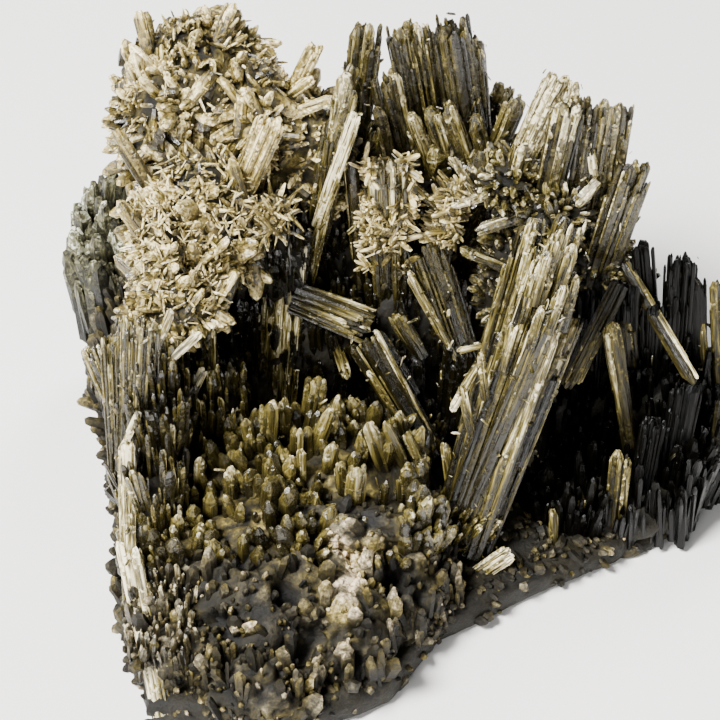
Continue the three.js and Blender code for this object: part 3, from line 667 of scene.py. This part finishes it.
def knob_levels(points, relief):
    """Large knobs of a relief, and the smaller ones that sit on them."""
    large = knobs_at(points, relief.knob, relief.seed + 5)
    return large, knobs_at(points, relief.knob * 0.42, relief.seed + 8)


def bulge(points, relief):
    """How far a lump's surface stands out or in: swells of 7 mm, knobs, smaller knobs and grains."""
    large, small = knob_levels(points, relief)
    grains = 0.35 * noise(points, 1.3, relief.seed + 3)
    return 0.9 * noise(points, 7.0, relief.seed) + relief.bump * (grains - 1 + 1.3 * large + 0.5 * small)


def shrunk(lumps, scale):
    """Lumps with their half sizes scaled."""
    return np.asarray(lumps, float) * (1, 1, 1, scale, scale, scale)


def cover(lumps, count, rng, relief, lowest=1.0):
    """Random points on the outside of a heap of lumps, with the way that the surface faces there."""
    middle, half = lumps[:, :3] - BOX_MIDDLE, lumps[:, 3:]
    size = np.prod(half, axis=1) ** (2 / 3)
    pick = rng.choice(len(lumps), count, p=size / size.sum())
    heading = unit(rng.normal(0, 1, (count, 3)))
    base = middle[pick] + heading * half[pick]
    spots = base + heading * bulge(base, relief)[:, None]
    depth = np.linalg.norm((spots[:, None] - middle) / half, axis=2)
    depth[np.arange(count), pick] = np.inf
    keep = (depth.min(axis=1) > 0.94) & (spots[:, 2] > lowest)
    return spots[keep], unit(heading / half[pick])[keep]


def nearness(points, middle, radius):
    """1 in the middle of a mark, 0 beyond its radius."""
    return smooth(np.linalg.norm(points - middle, axis=1), radius, 0.45 * radius)


def add_balls(shells, lumps, grid, relief, tone, marks=()):
    """Uneven balls: a grid of longitude and latitude on each ellipsoid, pushed in and out by its relief.

    Painted shade makes the creases between knobs dark and the knob tops lightest. Marks are points with a
    radius, a push along the surface's facing and a tone.
    """
    turns, levels = grid
    longitude = np.linspace(0, 2 * np.pi, turns, endpoint=False)[None, :]
    latitude = np.linspace(-np.pi / 2, np.pi / 2, levels + 1)[1:-1, None]
    level = np.cos(latitude)
    upward = np.sin(latitude) + 0 * longitude
    ring = np.stack([level * np.cos(longitude), level * np.sin(longitude), upward], axis=-1)
    heading = np.concatenate([ring.reshape(-1, 3), [[0, 0, -1], [0, 0, 1]]])
    rows = levels - 1
    number = np.arange(rows * turns).reshape(rows, turns)
    turned = np.roll(number, -1, axis=1)
    walls = np.stack([number[:-1], turned[:-1], turned[1:], number[1:]], axis=-1).reshape(-1, 4)
    south = np.stack([turned[0], number[0], np.full(turns, rows * turns)], axis=-1)
    north = np.stack([number[-1], turned[-1], np.full(turns, rows * turns + 1)], axis=-1)
    for lump in lumps:
        base = lump[:3] - BOX_MIDDLE + heading * lump[3:]
        push = bulge(base, relief)
        large, small = knob_levels(base, relief)
        # Painted shade: dark in the creases between knobs, lightest on their tops.
        shade = tone * (0.05 + 1.25 * (0.7 * large + 0.5 * small) ** 2)
        shade = shade * (1 + 0.5 * noise(base, TONE_SIZE, relief.seed + 9))
        for middle, radius, shift, mark_tone in marks:
            near = nearness(base + heading * push[:, None], middle, radius)
            push = push + shift * near
            shade = shade + near * (mark_tone - shade)
        points = base + heading * push[:, None]
        shells.add(points, [walls, south, north], shade, points, False)


def add_foot(shells, outline, height, tone, seed):
    """The rock's foot: an upright edge round the outline, closed by a flat underside and an uneven top."""
    corners = np.asarray(outline + outline[:1], float)
    run = np.concatenate([[0], np.cumsum(np.linalg.norm(np.diff(corners, axis=0), axis=1))])
    step = np.linspace(0, run[-1], 320, endpoint=False)
    edge = np.stack([np.interp(step, run, corners[:, 0]), np.interp(step, run, corners[:, 1])], axis=1)
    rows = np.array([(0.02, 0), (0.5, 0), (0.97, 0), (0.99, 0.1), (1, 0.3), (1, 0.5), (1, 0.7), (0.985, 0.9),
                     (0.96, 1), (0.9, 1), (0.8, 1), (0.65, 1), (0.5, 1), (0.3, 1), (0.02, 1)])
    level = np.broadcast_to(rows[:, 1, None, None] * height, (len(rows), len(edge), 1))
    points = np.concatenate([edge[None] * rows[:, :1, None], level], axis=2)
    free = smooth(rows[:, 1], 0.0, 0.3)[:, None, None]
    push = noise(points, 3.0, seed, 3)[..., None] * np.array([0.7, 0.7, 0.5])
    points = (points + push * free).reshape(-1, 3) - BOX_MIDDLE
    number = np.arange(len(points)).reshape(len(rows), len(edge))
    turned = np.roll(number, -1, axis=1)
    walls = np.stack([number[:-1], turned[:-1], turned[1:], number[1:]], axis=-1).reshape(-1, 4)
    lids = [number[:1, ::-1], number[-1:]]
    shade = tone * (1 + 0.5 * noise(points, TONE_SIZE, seed + 9))
    shells.add(points, [walls] + lids, shade, points, False)


def rim(outline, height, count, rng):
    """Random points on the edge of the rock's foot and the outer part of its top, with the way out there."""
    corners = np.asarray(outline, float)
    along = np.roll(corners, -1, axis=0) - corners
    run = np.linalg.norm(along, axis=1)
    pick = rng.choice(len(corners), count, p=run / run.sum())
    flat = corners[pick] + along[pick] * rng.uniform(0, 1, (count, 1))
    reach = 1 - TOP_SHARE * rng.uniform(0, 1, count) ** 1.5
    level = np.where(reach < 0.96, height, rng.uniform(0.8, height + 0.6, count))
    spots = np.column_stack([flat * reach[:, None], level])
    facing = np.column_stack([along[pick, 1], -along[pick, 0], np.full(count, 2.0)])
    return spots - BOX_MIDDLE, unit(facing)


def sprouts(spots, facing, growth, rng):
    """Small crystals on a surface.

    Each heads the way that the surface faces, as far as the grip says, plus a lean, a sway that neighbours
    share and a jitter of its own. A third of it is sunk in. Lengths are spread evenly by ratio.
    """
    count = len(spots)
    shared = np.stack([noise(spots, SWAY_SIZE, 40 + part) for part in range(3)], axis=1)
    own = rng.normal(0, growth.jitter, (count, 3))
    heading = unit(growth.grip * facing + np.array(growth.lean) + growth.sway * shared + own)
    shortest, longest = growth.length
    long = shortest * (longest / shortest) ** rng.uniform(0, 1, count)
    wide = long * rng.uniform(*growth.width, count)
    root = spots - heading * (0.35 * long)[:, None]
    tip = spots + heading * (0.65 * long)[:, None]
    side = np.cross(heading, unit(rng.normal(0, 1, (count, 3))))
    tone = rng.uniform(*growth.tone, count) * (1 + 0.35 * noise(spots, TONE_SIZE, 50))
    zero = np.zeros(count)
    return [root, tip, side, wide, wide * growth.flatness, tone, np.full(count, growth.left), zero, zero + 1]


def outside(spots, marks):
    """Which points lie clear of the middles of marks, where no grains grow."""
    keep = np.full(len(spots), True)
    for middle, radius, push, tone in marks:
        keep &= np.linalg.norm(spots - middle, axis=1) > 0.7 * radius
    return keep


def toned(laths, marks):
    """Laths that take on the tone of the mark that they stand in."""
    for middle, radius, push, tone in marks:
        near = nearness(laths[0], middle, radius)
        laths[5] = laths[5] + near * (tone - laths[5])
    return laths


def linear(hex_colour):
    """Linear red, green, blue and alpha of an sRGB hex colour."""
    parts = np.array([int(hex_colour[at:at + 2], 16) / 255 for at in (1, 3, 5)])
    parts = np.where(parts <= 0.04045, parts / 12.92, ((parts + 0.055) / 1.055) ** 2.4)
    return (*parts.tolist(), 1.0)


def add_node(tree, kind, output="", settings=None, links=None, stops=()):
    """Adds a shader node with properties, sockets, links and evenly spaced colour stops; gives an output."""
    node = tree.nodes.new("ShaderNode" + kind)
    for key, value in (settings or {}).items():
        if isinstance(key, str) and hasattr(node, key):
            setattr(node, key, value)
        else:
            node.inputs[key].default_value = value
    for key, source in (links or {}).items():
        tree.links.new(source, node.inputs[key])
    for index, colour in enumerate(stops):
        if index >= len(node.color_ramp.elements):
            node.color_ramp.elements.new(1.0)
        node.color_ramp.elements[index].position = index / (len(stops) - 1)
        node.color_ramp.elements[index].color = colour
    return node.outputs[output] if output else None


def new_material(name):
    """An empty node material, and the tree to fill."""
    material = bpy.data.materials.new(name)
    material.use_nodes = True
    material.node_tree.nodes.clear()
    return material, material.node_tree


def tones(settings, pair):
    """Tone scale of a pair of colours: from near black up shares of the body colour, then to the pale one."""
    body, pale = (np.array(getattr(settings, pair + part)) for part in ("_body", "_pale"))
    scale = [body * share for share in (0.008, 0.065, 0.31, 1.0)] + [body * 0.66 + pale * 0.34, pale]
    return [(*colour[:3], 1.0) for colour in scale]


def epidote(settings, name, pair, roughness, crust, lining=(0.2, 1.65), shine=0.5):
    """Epidote: glassy faces of high index with growth lines, partly hidden by a crust of tiny pale crystals.

    The faces are smooth and reflect the lights as silvery streaks; the crust is dull and sparkles in grains.
    """
    material, tree = new_material(name)
    shade = add_node(tree, "Attribute", "Fac", {"attribute_name": "shade"})
    grain = add_node(tree, "Attribute", "Vector", {"attribute_name": "grain"})
    stretch = (1 / LINE_WIDTH, 1 / LINE_WIDTH, 1 / LINE_LENGTH)
    along = add_node(tree, "Mapping", "Vector", {"Scale": stretch}, {"Vector": grain})
    lines = add_node(tree, "TexNoise", "Fac", {"Scale": 1.0, "Detail": 3.0, "Roughness": 0.65},
                     {"Vector": along})
    lined = add_node(tree, "MapRange", "Result",
                     {"From Min": 0.3, "From Max": 0.7, "To Min": lining[0], "To Max": lining[1]},
                     {"Value": lines})
    # The crust follows the cloudy zones.
    clouds = add_node(tree, "TexNoise", "Fac", {"Scale": 1 / CLOUD_SIZE, "Detail": 4.0, "Roughness": 0.65},
                      {"Vector": grain})
    crusted = add_node(tree, "MapRange", "Result",
                       {"From Min": 0.62 - crust * 0.3, "From Max": 0.74 - crust * 0.3}, {"Value": clouds})
    cells = add_node(tree, "TexVoronoi", "Color", {"Scale": 1 / CRUST_GRAIN, "Randomness": 1.0},
                     {"Vector": grain})
    speck = add_node(tree, "SeparateColor", "Red", links={"Color": cells})
    grained = add_node(tree, "MapRange", "Result", {"To Min": 0.5, "To Max": 1.9}, {"Value": speck})
    pattern = add_node(tree, "Mix", "Result", {"data_type": "FLOAT"},
                       {"Factor": crusted, "A": lined, "B": grained})
    level = add_node(tree, "Math", "Value", {"operation": "MULTIPLY"}, {0: shade, 1: pattern})
    colour = add_node(tree, "ValToRGB", "Color", links={"Fac": level}, stops=tones(settings, pair))
    dulled = add_node(tree, "MapRange", "Result", {"To Min": roughness, "To Max": roughness + 0.25},
                      {"Value": crusted})
    height = add_node(tree, "Mix", "Result", {"data_type": "FLOAT"},
                      {"Factor": crusted, "A": lines, "B": speck.node.outputs["Green"]})
    bump = add_node(tree, "Bump", "Normal", {"Strength": 0.8, "Distance": LINE_DEPTH * MM},
                    {"Height": height})
    glass = add_node(tree, "BsdfPrincipled", "BSDF", {"IOR": EPIDOTE_IOR, "Specular IOR Level": shine},
                     {"Base Color": colour, "Roughness": dulled, "Normal": bump})
    add_node(tree, "OutputMaterial", links={"Surface": glass})
    return material


def granular_rock(settings, name, pair, stain_pair):
    """Granular rock: dull skarn, rough to the eye, that shifts between two colour scales in patches."""
    material, tree = new_material(name)
    shade = add_node(tree, "Attribute", "Fac", {"attribute_name": "shade"})
    grain = add_node(tree, "Attribute", "Vector", {"attribute_name": "grain"})
    grains = add_node(tree, "TexNoise", "Fac", {"Scale": 1 / ROCK_GRAIN, "Detail": 5.0, "Roughness": 0.7},
                      {"Vector": grain})
    patches = add_node(tree, "TexNoise", "Fac", {"Scale": 1 / ROCK_PATCH, "Detail": 3.0}, {"Vector": grain})
    grained = add_node(tree, "MapRange", "Result",
                       {"From Min": 0.3, "From Max": 0.7, "To Min": 0.45, "To Max": 1.55}, {"Value": grains})
    patched = add_node(tree, "MapRange", "Result",
                       {"From Min": 0.3, "From Max": 0.7, "To Min": 0.6, "To Max": 1.4}, {"Value": patches})
    pattern = add_node(tree, "Math", "Value", {"operation": "MULTIPLY"}, {0: grained, 1: patched})
    level = add_node(tree, "Math", "Value", {"operation": "MULTIPLY"}, {0: shade, 1: pattern})
    brown = add_node(tree, "ValToRGB", "Color", links={"Fac": level}, stops=tones(settings, pair))
    grey = add_node(tree, "ValToRGB", "Color", links={"Fac": level}, stops=tones(settings, stain_pair))
    stain = add_node(tree, "MapRange", "Result", {"From Min": 0.42, "From Max": 0.58}, {"Value": patches})
    # Sockets 6 and 7 of a mix take its two colours, and output 2 gives the mixed one.
    colour = add_node(tree, "Mix", 2, {"data_type": "RGBA"}, {"Factor": stain, 6: brown, 7: grey})
    bump = add_node(tree, "Bump", "Normal", {"Strength": 0.7, "Distance": ROCK_DEPTH * MM},
                    {"Height": grains})
    dull = add_node(tree, "BsdfPrincipled", "BSDF",
                    {"IOR": ROCK_IOR, "Roughness": 0.62, "Specular IOR Level": 0.2},
                    {"Base Color": colour, "Normal": bump})
    add_node(tree, "OutputMaterial", links={"Surface": dull})
    return material


def massive_epidote(settings):
    """Massive epidote at the roots of every spray: dull, brown and dark, one material for all of them."""
    # The near-black of the root lumps is painted shade from their tone, not this material's colour.
    name = "massive_epidote"
    return bpy.data.materials.get(name) or granular_rock(settings, name, "rock", "rock")


def show(shells, name, node, material):
    """Turns gathered shells into a piece of the body, which stands for a CAD node if one is named."""
    piece = bpy.data.objects.new(name, shells.mesh(name))
    piece.data.materials.append(material)
    bpy.context.scene.collection.objects.link(piece)
    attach(piece, "root")
    if node:
        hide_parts(node)


def grow_spray(settings, node, crystals, lumps, material, covers, seed, form=LATH, core=0.75,
               root_tone=0.1, dust=0.12):
    """One spray: root lumps, bundles of crystals, dust on their sides and small crystals on the roots.

    Each cover is a count, how far the field of bare patches must reach for crystals, a form and a growth.
    The root lumps take a dark tone, painted shade of the hollows among the crystals.
    """
    rng = np.random.default_rng(seed)
    relief = Relief(ROOT_BUMP, ROOT_KNOB, seed)
    heap = shrunk(lumps, core)
    roots = Shells()
    # Painted shade: the root lumps are darkened by their tone.
    add_balls(roots, heap, ROOT_GRID, relief, root_tone)
    show(roots, node + "_roots", None, massive_epidote(settings))
    shells = Shells()
    add_prisms(shells, form, bundles(crystals, rng, settings.lath_scale), rng)
    spots, facing = on_crystals(crystals, dust, rng, low=0.2, high=1.0)
    add_prisms(shells, FLAKE, sprouts(spots, facing, DUST, rng), rng)
    for count, gaps, shape, growth in covers:
        spots, facing = cover(heap, int(count * settings.crowding), rng, relief)
        keep = noise(spots, PATCH_SIZE, seed + 70) > gaps
        add_prisms(shells, shape, sprouts(spots[keep], facing[keep], growth, rng), rng)
    show(shells, node + "_crystals", node, material)


def colour_setting(name, description, hex_colour):
    """A colour that a user can change."""
    return bpy.props.FloatVectorProperty(name=name, description=description, default=linear(hex_colour),
                                         size=4, min=0.0, max=1.0, subtype="COLOR")


class EpidoteSettings(bpy.types.PropertyGroup):
    """Sizes and colours of the specimen and its stage"""

    lath_scale: bpy.props.FloatProperty(
        name="Lath width", description="Width of the laths that a crystal is made of, against the usual",
        default=1.0, min=0.4, max=2.5, subtype="FACTOR")
    crowding: bpy.props.FloatProperty(
        name="Crowding", description="How many small crystals cover the roots and rock, against the usual",
        default=1.0, min=0.1, max=2.0, subtype="FACTOR")
    foot_height: bpy.props.FloatProperty(
        name="Foot height", description="Height of the rock's flat foot", default=0.005, min=0.001, max=0.01,
        unit="LENGTH", subtype="DISTANCE")
    key_power: bpy.props.FloatProperty(
        name="Key light", description="Power of the main studio light; the others follow it",
        default=22.0, min=0.0, max=200.0, unit="POWER")
    prism_body: colour_setting("Prisms", "Body colour of the prisms", "#6b5f2d")
    prism_pale: colour_setting("Prisms, pale", "Colour of the palest prisms and tips", "#ece0b6")
    dark_body: colour_setting("Dark columns", "Body colour of the near-black columns", "#302b18")
    dark_pale: colour_setting("Dark columns, pale", "Colour of their palest edges", "#c5bfa6")
    crust_body: colour_setting("Crust", "Body colour of the crust of small crystals", "#8c7a3c")
    crust_pale: colour_setting("Crust, pale", "Colour of the palest needles", "#f0dea6")
    flank_body: colour_setting("Fibrous flank", "Body colour of the fibres on the rock's side", "#5f5433")
    flank_pale: colour_setting("Fibrous flank, pale", "Colour of the palest fibres", "#d6c9a0")
    rib_body: colour_setting("Weathered ribs", "Body colour of the ribs at the far side", "#5b583d")
    rib_pale: colour_setting("Weathered ribs, pale", "Colour of the palest ribs", "#c9cab4")
    rock_body: colour_setting("Rock", "Body colour of the brown rock", "#73652f")
    rock_pale: colour_setting("Rock, pale", "Colour of the tan patch", "#e6cda2")
    stain_body: colour_setting("Rock stain", "Body colour of the rock's grey patches", "#625a44")
    stain_pale: colour_setting("Rock stain, pale", "Palest colour of the grey patches", "#e3cda8")
    floor_colour: colour_setting("Floor", "Colour of the floor", "#f1efeb")
    sky_colour: colour_setting("Sky", "Colour of the light from all round", "#eef2f7")


class EPIDOTE_OT_host_rock(bpy.types.Operator):
    """Builds the lumpy rock that the crystals grew on, flat underneath, with its grains and fibres"""

    bl_idname = "epidote.host_rock"
    bl_label = "Host rock"

    def execute(self, context):
        settings = context.scene.epidote
        rng = np.random.default_rng(ROCK_SEED)
        height = settings.foot_height / MM
        front = shrunk(FRONT_LUMPS + [LEDGE], FRONT_CORE)
        back = shrunk(BACK_ROCK_LUMPS, BACK_CORE)
        patch = [(seen(front, *mark[:2]), *mark[2:]) for mark in TAN_PATCH]
        # The pits are pushed in and painted black, as painted shade.
        holes = [(seen(front, *mark[:2]), *mark[2:]) for mark in CAVITIES]
        rock = Shells()
        add_foot(rock, UNDERSIDE, height, FOOT_TONE, ROCK_SEED)
        add_balls(rock, front, FRONT_GRID, FRONT_RELIEF, FRONT_TONE, patch + holes)
        add_balls(rock, back, BACK_GRID, BACK_RELIEF, BACK_TONE)
        material = granular_rock(settings, "granular_skarn", "rock", "stain")
        show(rock, "host_rock", "matrix", material)
        grains = Shells()
        for count, highest, growth in FRONT_COVERS:
            spots, facing = cover(front, int(count * settings.crowding), rng, FRONT_RELIEF)
            bare = holes if growth is FRONT_GRAINS else patch + holes
            keep = outside(spots, bare) & (spots[:, 2] < highest)
            laths = sprouts(spots[keep], facing[keep], growth, rng)
            # Grains near the pits darken towards black as painted shade; those in the tan patch take on its
            # stain.
            add_prisms(grains, KNOB, toned(laths, patch + holes), rng)
        show(grains, "front_grains", None, material)
        crust = Shells()
        spots, facing = cover(back, int(BACK_COUNT * settings.crowding), rng, BACK_RELIEF)
        add_prisms(crust, KNOB, sprouts(spots, facing, BACK_PRISMS, rng), rng)
        spots, facing = rim(UNDERSIDE, height, int(RIM_COUNT * settings.crowding), rng)
        add_prisms(crust, KNOB, sprouts(spots, facing, RIM_GRAINS, rng), rng)
        show(crust, "rim_grains", None, material)
        fibres = Shells()
        spots, facing = cover(shrunk(FIBROUS, FIBROUS_CORE), int(FIBRE_COUNT * settings.crowding), rng,
                              FRONT_RELIEF, FIBRE_LOWEST)
        outer = facing[:, 0] < 0.3
        add_prisms(fibres, FLAKE, sprouts(spots[outer], facing[outer], FLANK_FIBRES, rng), rng)
        show(fibres, "flank_fibres", None,
             epidote(settings, "fibrous_epidote", "flank", roughness=0.3, crust=0.5))
        return {"FINISHED"}


class EPIDOTE_OT_main_spray(bpy.types.Operator):
    """Builds the thick striated spray that leans across the right of the front"""

    bl_idname = "epidote.main_spray"
    bl_label = "Main spray"

    def execute(self, context):
        settings = context.scene.epidote
        material = epidote(settings, "silvery_epidote", "prism", roughness=0.18, crust=0.35,
                           lining=(0.1, 1.7), shine=0.3)
        grow_spray(settings, "main_spray", MAIN_SPRAY, MAIN_LUMPS, material,
                   [(300, -2.0, FLAKE, MAIN_FOOT)], seed=21)
        return {"FINISHED"}


class EPIDOTE_OT_front_druse(bpy.types.Operator):
    """Builds the blunt olive crystals that stand along the front"""

    bl_idname = "epidote.front_druse"
    bl_label = "Front druse"

    def execute(self, context):
        settings = context.scene.epidote
        material = epidote(settings, "olive_epidote", "prism", roughness=0.2, crust=0.3, lining=(0.6, 1.35))
        grow_spray(settings, "front_druse", FRONT_DRUSE, DRUSE_LUMPS, material,
                   [(1500, -0.3, STUB, DRUSE_STUBS)], seed=22, form=STUB, core=0.8, root_tone=0.35, dust=0.0)
        return {"FINISHED"}


class EPIDOTE_OT_left_wall(bpy.types.Operator):
    """Builds the fan of thin upright laths at the left"""

    bl_idname = "epidote.left_wall"
    bl_label = "Left wall"

    def execute(self, context):
        settings = context.scene.epidote
        material = epidote(settings, "striated_epidote", "prism", roughness=0.16, crust=0.35)
        grow_spray(settings, "left_wall", LEFT_WALL, LEFT_LUMPS, material,
                   [(900, -2.0, FLAKE, LEFT_LATHS)], seed=23)
        return {"FINISHED"}


class EPIDOTE_OT_centre_spray(bpy.types.Operator):
    """Builds the blades that rise from the dark hollow in the middle, and the needle crust on two of them"""

    bl_idname = "epidote.centre_spray"
    bl_label = "Centre spray"

    def execute(self, context):
        settings = context.scene.epidote
        material = epidote(settings, "brown_epidote", "prism", roughness=0.16, crust=0.35)
        grow_spray(settings, "centre_spray", CENTRE_SPRAY + CRUSTED_ARMS, CENTRE_LUMPS,
                   material, [(1700, -2.0, FLAKE, CENTRE_LATHS)], seed=24, core=0.58)
        rng = np.random.default_rng(ARM_SEED)
        spots, facing = on_crystals(CRUSTED_ARMS, ARM_DENSITY, rng, low=0.3, high=1.05)
        keep = noise(spots, PATCH_SIZE, ARM_SEED + 1) > ARM_GAPS
        crust = Shells()
        add_prisms(crust, FLAKE, sprouts(spots[keep], facing[keep], PYRAMID_CRUST, rng), rng)
        show(crust, "centre_crust", None,
             epidote(settings, "needle_crust", "crust", roughness=0.3, crust=0.5))
        return {"FINISHED"}


class EPIDOTE_OT_right_wall(bpy.types.Operator):
    """Builds the near-black columns at the right and the paler blades that lean over them"""

    bl_idname = "epidote.right_wall"
    bl_label = "Right wall"

    def execute(self, context):
        settings = context.scene.epidote
        # The columns' near-black tone is partly painted shade of the right wall.
        material = epidote(settings, "dark_epidote", "dark", roughness=0.34, crust=0.1, shine=0.1)
        grow_spray(settings, "right_wall", RIGHT_WALL, WALL_LUMPS, material,
                   [(1700, -2.0, FLAKE, WALL_LATHS)], seed=25)
        rng = np.random.default_rng(BLADE_SEED)
        blades = Shells()
        add_prisms(blades, LATH, bundles(RIGHT_BLADES, rng, settings.lath_scale), rng)
        show(blades, "right_blades", None,
             epidote(settings, "leaning_epidote", "prism", roughness=0.34, crust=0.4, shine=0.15))
        return {"FINISHED"}


class EPIDOTE_OT_right_spray(bpy.types.Operator):
    """Builds the upright crystals and crusted knobs at the upper right"""

    bl_idname = "epidote.right_spray"
    bl_label = "Right spray"

    def execute(self, context):
        settings = context.scene.epidote
        material = epidote(settings, "crusted_epidote", "prism", roughness=0.24, crust=0.5)
        grow_spray(settings, "right_spray", RIGHT_SPRAY, RIGHT_LUMPS, material,
                   [(2200, -0.8, FLAKE, RIGHT_CRUST)], seed=26, core=0.82)
        return {"FINISHED"}


class EPIDOTE_OT_back_spray(bpy.types.Operator):
    """Builds the blades that stand along the back"""

    bl_idname = "epidote.back_spray"
    bl_label = "Back spray"

    def execute(self, context):
        settings = context.scene.epidote
        material = epidote(settings, "bladed_epidote", "prism", roughness=0.22, crust=0.4)
        grow_spray(settings, "back_spray", BACK_SPRAY, BACK_LUMPS, material,
                   [(3000, -2.0, FLAKE, BACK_LATHS)], seed=27, core=0.85)
        return {"FINISHED"}


class EPIDOTE_OT_upper_mound(bpy.types.Operator):
    """Builds the mound of small tangled crystals at the upper left, its needle mat and its ribbed side"""

    bl_idname = "epidote.upper_mound"
    bl_label = "Upper mound"

    def execute(self, context):
        settings = context.scene.epidote
        material = epidote(settings, "crusted_needle_epidote", "crust", roughness=0.26, crust=0.6)
        grow_spray(settings, "upper_mound", UPPER_MOUND, MOUND_LUMPS, material,
                   [(520, -2.0, STUB, MOUND_STUBS), (6000, -0.9, FLAKE, MOUND_FLAKES)], seed=MOUND_SEED,
                   core=0.86, root_tone=0.3)
        rng = np.random.default_rng(MAT_SEED)
        needles = Shells()
        spots, facing = cover(shrunk(MOUND_LUMPS[:6], MAT_CORE), int(MAT_COUNT * settings.crowding), rng,
                              Relief(ROOT_BUMP, ROOT_KNOB, MOUND_SEED))
        away = np.linalg.norm(spots - placed([MAT_MIDDLE]), axis=1)
        keep = rng.uniform(0, 1, len(spots)) < MAT_STRAYS + smooth(away, *MAT_REACH)
        add_prisms(needles, NEEDLE, sprouts(spots[keep], facing[keep], MAT_NEEDLES, rng), rng)
        middle = placed([ROSETTE_MIDDLE]) + rng.normal(0, ROSETTE_SPREAD, (ROSETTE_COUNT, 3))
        out = unit(rng.normal(0, 1, (ROSETTE_COUNT, 3)) + TO_EYE)
        add_prisms(needles, NEEDLE, sprouts(middle, out, ROSETTE_NEEDLES, rng), rng)
        show(needles, "needle_mat", None, material)
        ribs = Shells()
        sides = shrunk(RIB_LUMPS, RIB_CORE)
        add_balls(ribs, sides, ROOT_GRID, RIB_RELIEF, RIB_TONE)
        spots, facing = cover(sides, int(RIB_COUNT * settings.crowding), rng, RIB_RELIEF)
        add_prisms(ribs, FLAKE, sprouts(spots, facing, RIB_LATHS, rng), rng)
        show(ribs, "side_ribs", None,
             epidote(settings, "weathered_epidote", "rib", roughness=0.36, crust=0.6, shine=0.2))
        return {"FINISHED"}


class EPIDOTE_OT_stage(bpy.types.Operator):
    """Builds the pale floor, the soft studio light and the camera"""

    bl_idname = "epidote.stage"
    bl_label = "Stage"

    def execute(self, context):
        scene = context.scene
        settings = scene.epidote
        half = FLOOR_HALF
        sheet = bpy.data.meshes.new("floor")
        corners = [(-half, -half, 0), (half, -half, 0), (half, half, 0), (-half, half, 0)]
        sheet.from_pydata(corners, [], [(0, 1, 2, 3)])
        floor = bpy.data.objects.new("floor", sheet)
        scene.collection.objects.link(floor)
        # Matt white board: evenly pale, without a gloss.
        board, tree = new_material("matt_white_board")
        matt = add_node(tree, "BsdfPrincipled", "BSDF",
                        {"Base Color": settings.floor_colour, "Roughness": 0.9})
        add_node(tree, "OutputMaterial", links={"Surface": matt})
        sheet.materials.append(board)
        for name, place, size, share in LIGHTS:
            lamp = bpy.data.lights.new(name, "AREA")
            lamp.shape = "DISK"
            lamp.size = size
            lamp.energy = settings.key_power * share
            light = bpy.data.objects.new(name, lamp)
            light.location = place
            sight = Vector(VIEW_MIDDLE * MM) - Vector(place)
            light.rotation_euler = sight.to_track_quat("-Z", "Y").to_euler()
            scene.collection.objects.link(light)
        world = bpy.data.worlds.new("studio")
        world.use_nodes = True
        sky = world.node_tree.nodes["Background"].inputs
        sky["Color"].default_value = settings.sky_colour
        sky["Strength"].default_value = SKY_STRENGTH
        scene.world = world
        lens = bpy.data.cameras.new("camera")
        lens.sensor_width = SENSOR_WIDTH
        lens.lens = SENSOR_WIDTH * VIEW_DISTANCE / VIEW_SIDE
        camera = bpy.data.objects.new("camera", lens)
        camera.location = (EYE - BOX_MIDDLE) * MM
        camera.rotation_euler = Vector(-TO_EYE).to_track_quat("-Z", "Y").to_euler()
        scene.collection.objects.link(camera)
        scene.camera = camera
        return {"FINISHED"}


OPERATORS = (
    EPIDOTE_OT_host_rock, EPIDOTE_OT_main_spray, EPIDOTE_OT_front_druse, EPIDOTE_OT_left_wall,
    EPIDOTE_OT_centre_spray, EPIDOTE_OT_right_wall, EPIDOTE_OT_right_spray, EPIDOTE_OT_back_spray,
    EPIDOTE_OT_upper_mound, EPIDOTE_OT_stage,
)


class EPIDOTE_PT_panel(bpy.types.Panel):
    """Settings of the specimen and a button for each piece"""

    bl_label = "Epidote"
    bl_idname = "EPIDOTE_PT_panel"
    bl_space_type = "VIEW_3D"
    bl_region_type = "UI"
    bl_category = "Epidote"

    def draw(self, context):
        for name in EpidoteSettings.__annotations__:
            self.layout.prop(context.scene.epidote, name)
        for operator in OPERATORS:
            self.layout.operator(operator.bl_idname)


CLASSES = (EpidoteSettings, *OPERATORS, EPIDOTE_PT_panel)


def register():
    """Registers the settings, the operators and the panel."""
    for item in CLASSES:
        bpy.utils.register_class(item)
    bpy.types.Scene.epidote = bpy.props.PointerProperty(type=EpidoteSettings)


def unregister():
    """Takes back what register did."""
    del bpy.types.Scene.epidote
    for item in reversed(CLASSES):
        bpy.utils.unregister_class(item)


def main():
    """Builds every piece and the stage."""
    register()
    bpy.ops.epidote.host_rock()
    bpy.ops.epidote.main_spray()
    bpy.ops.epidote.front_druse()
    bpy.ops.epidote.left_wall()
    bpy.ops.epidote.centre_spray()
    bpy.ops.epidote.right_wall()
    bpy.ops.epidote.right_spray()
    bpy.ops.epidote.back_spray()
    bpy.ops.epidote.upper_mound()
    bpy.ops.epidote.stage()


if __name__ == "__main__":
    main()
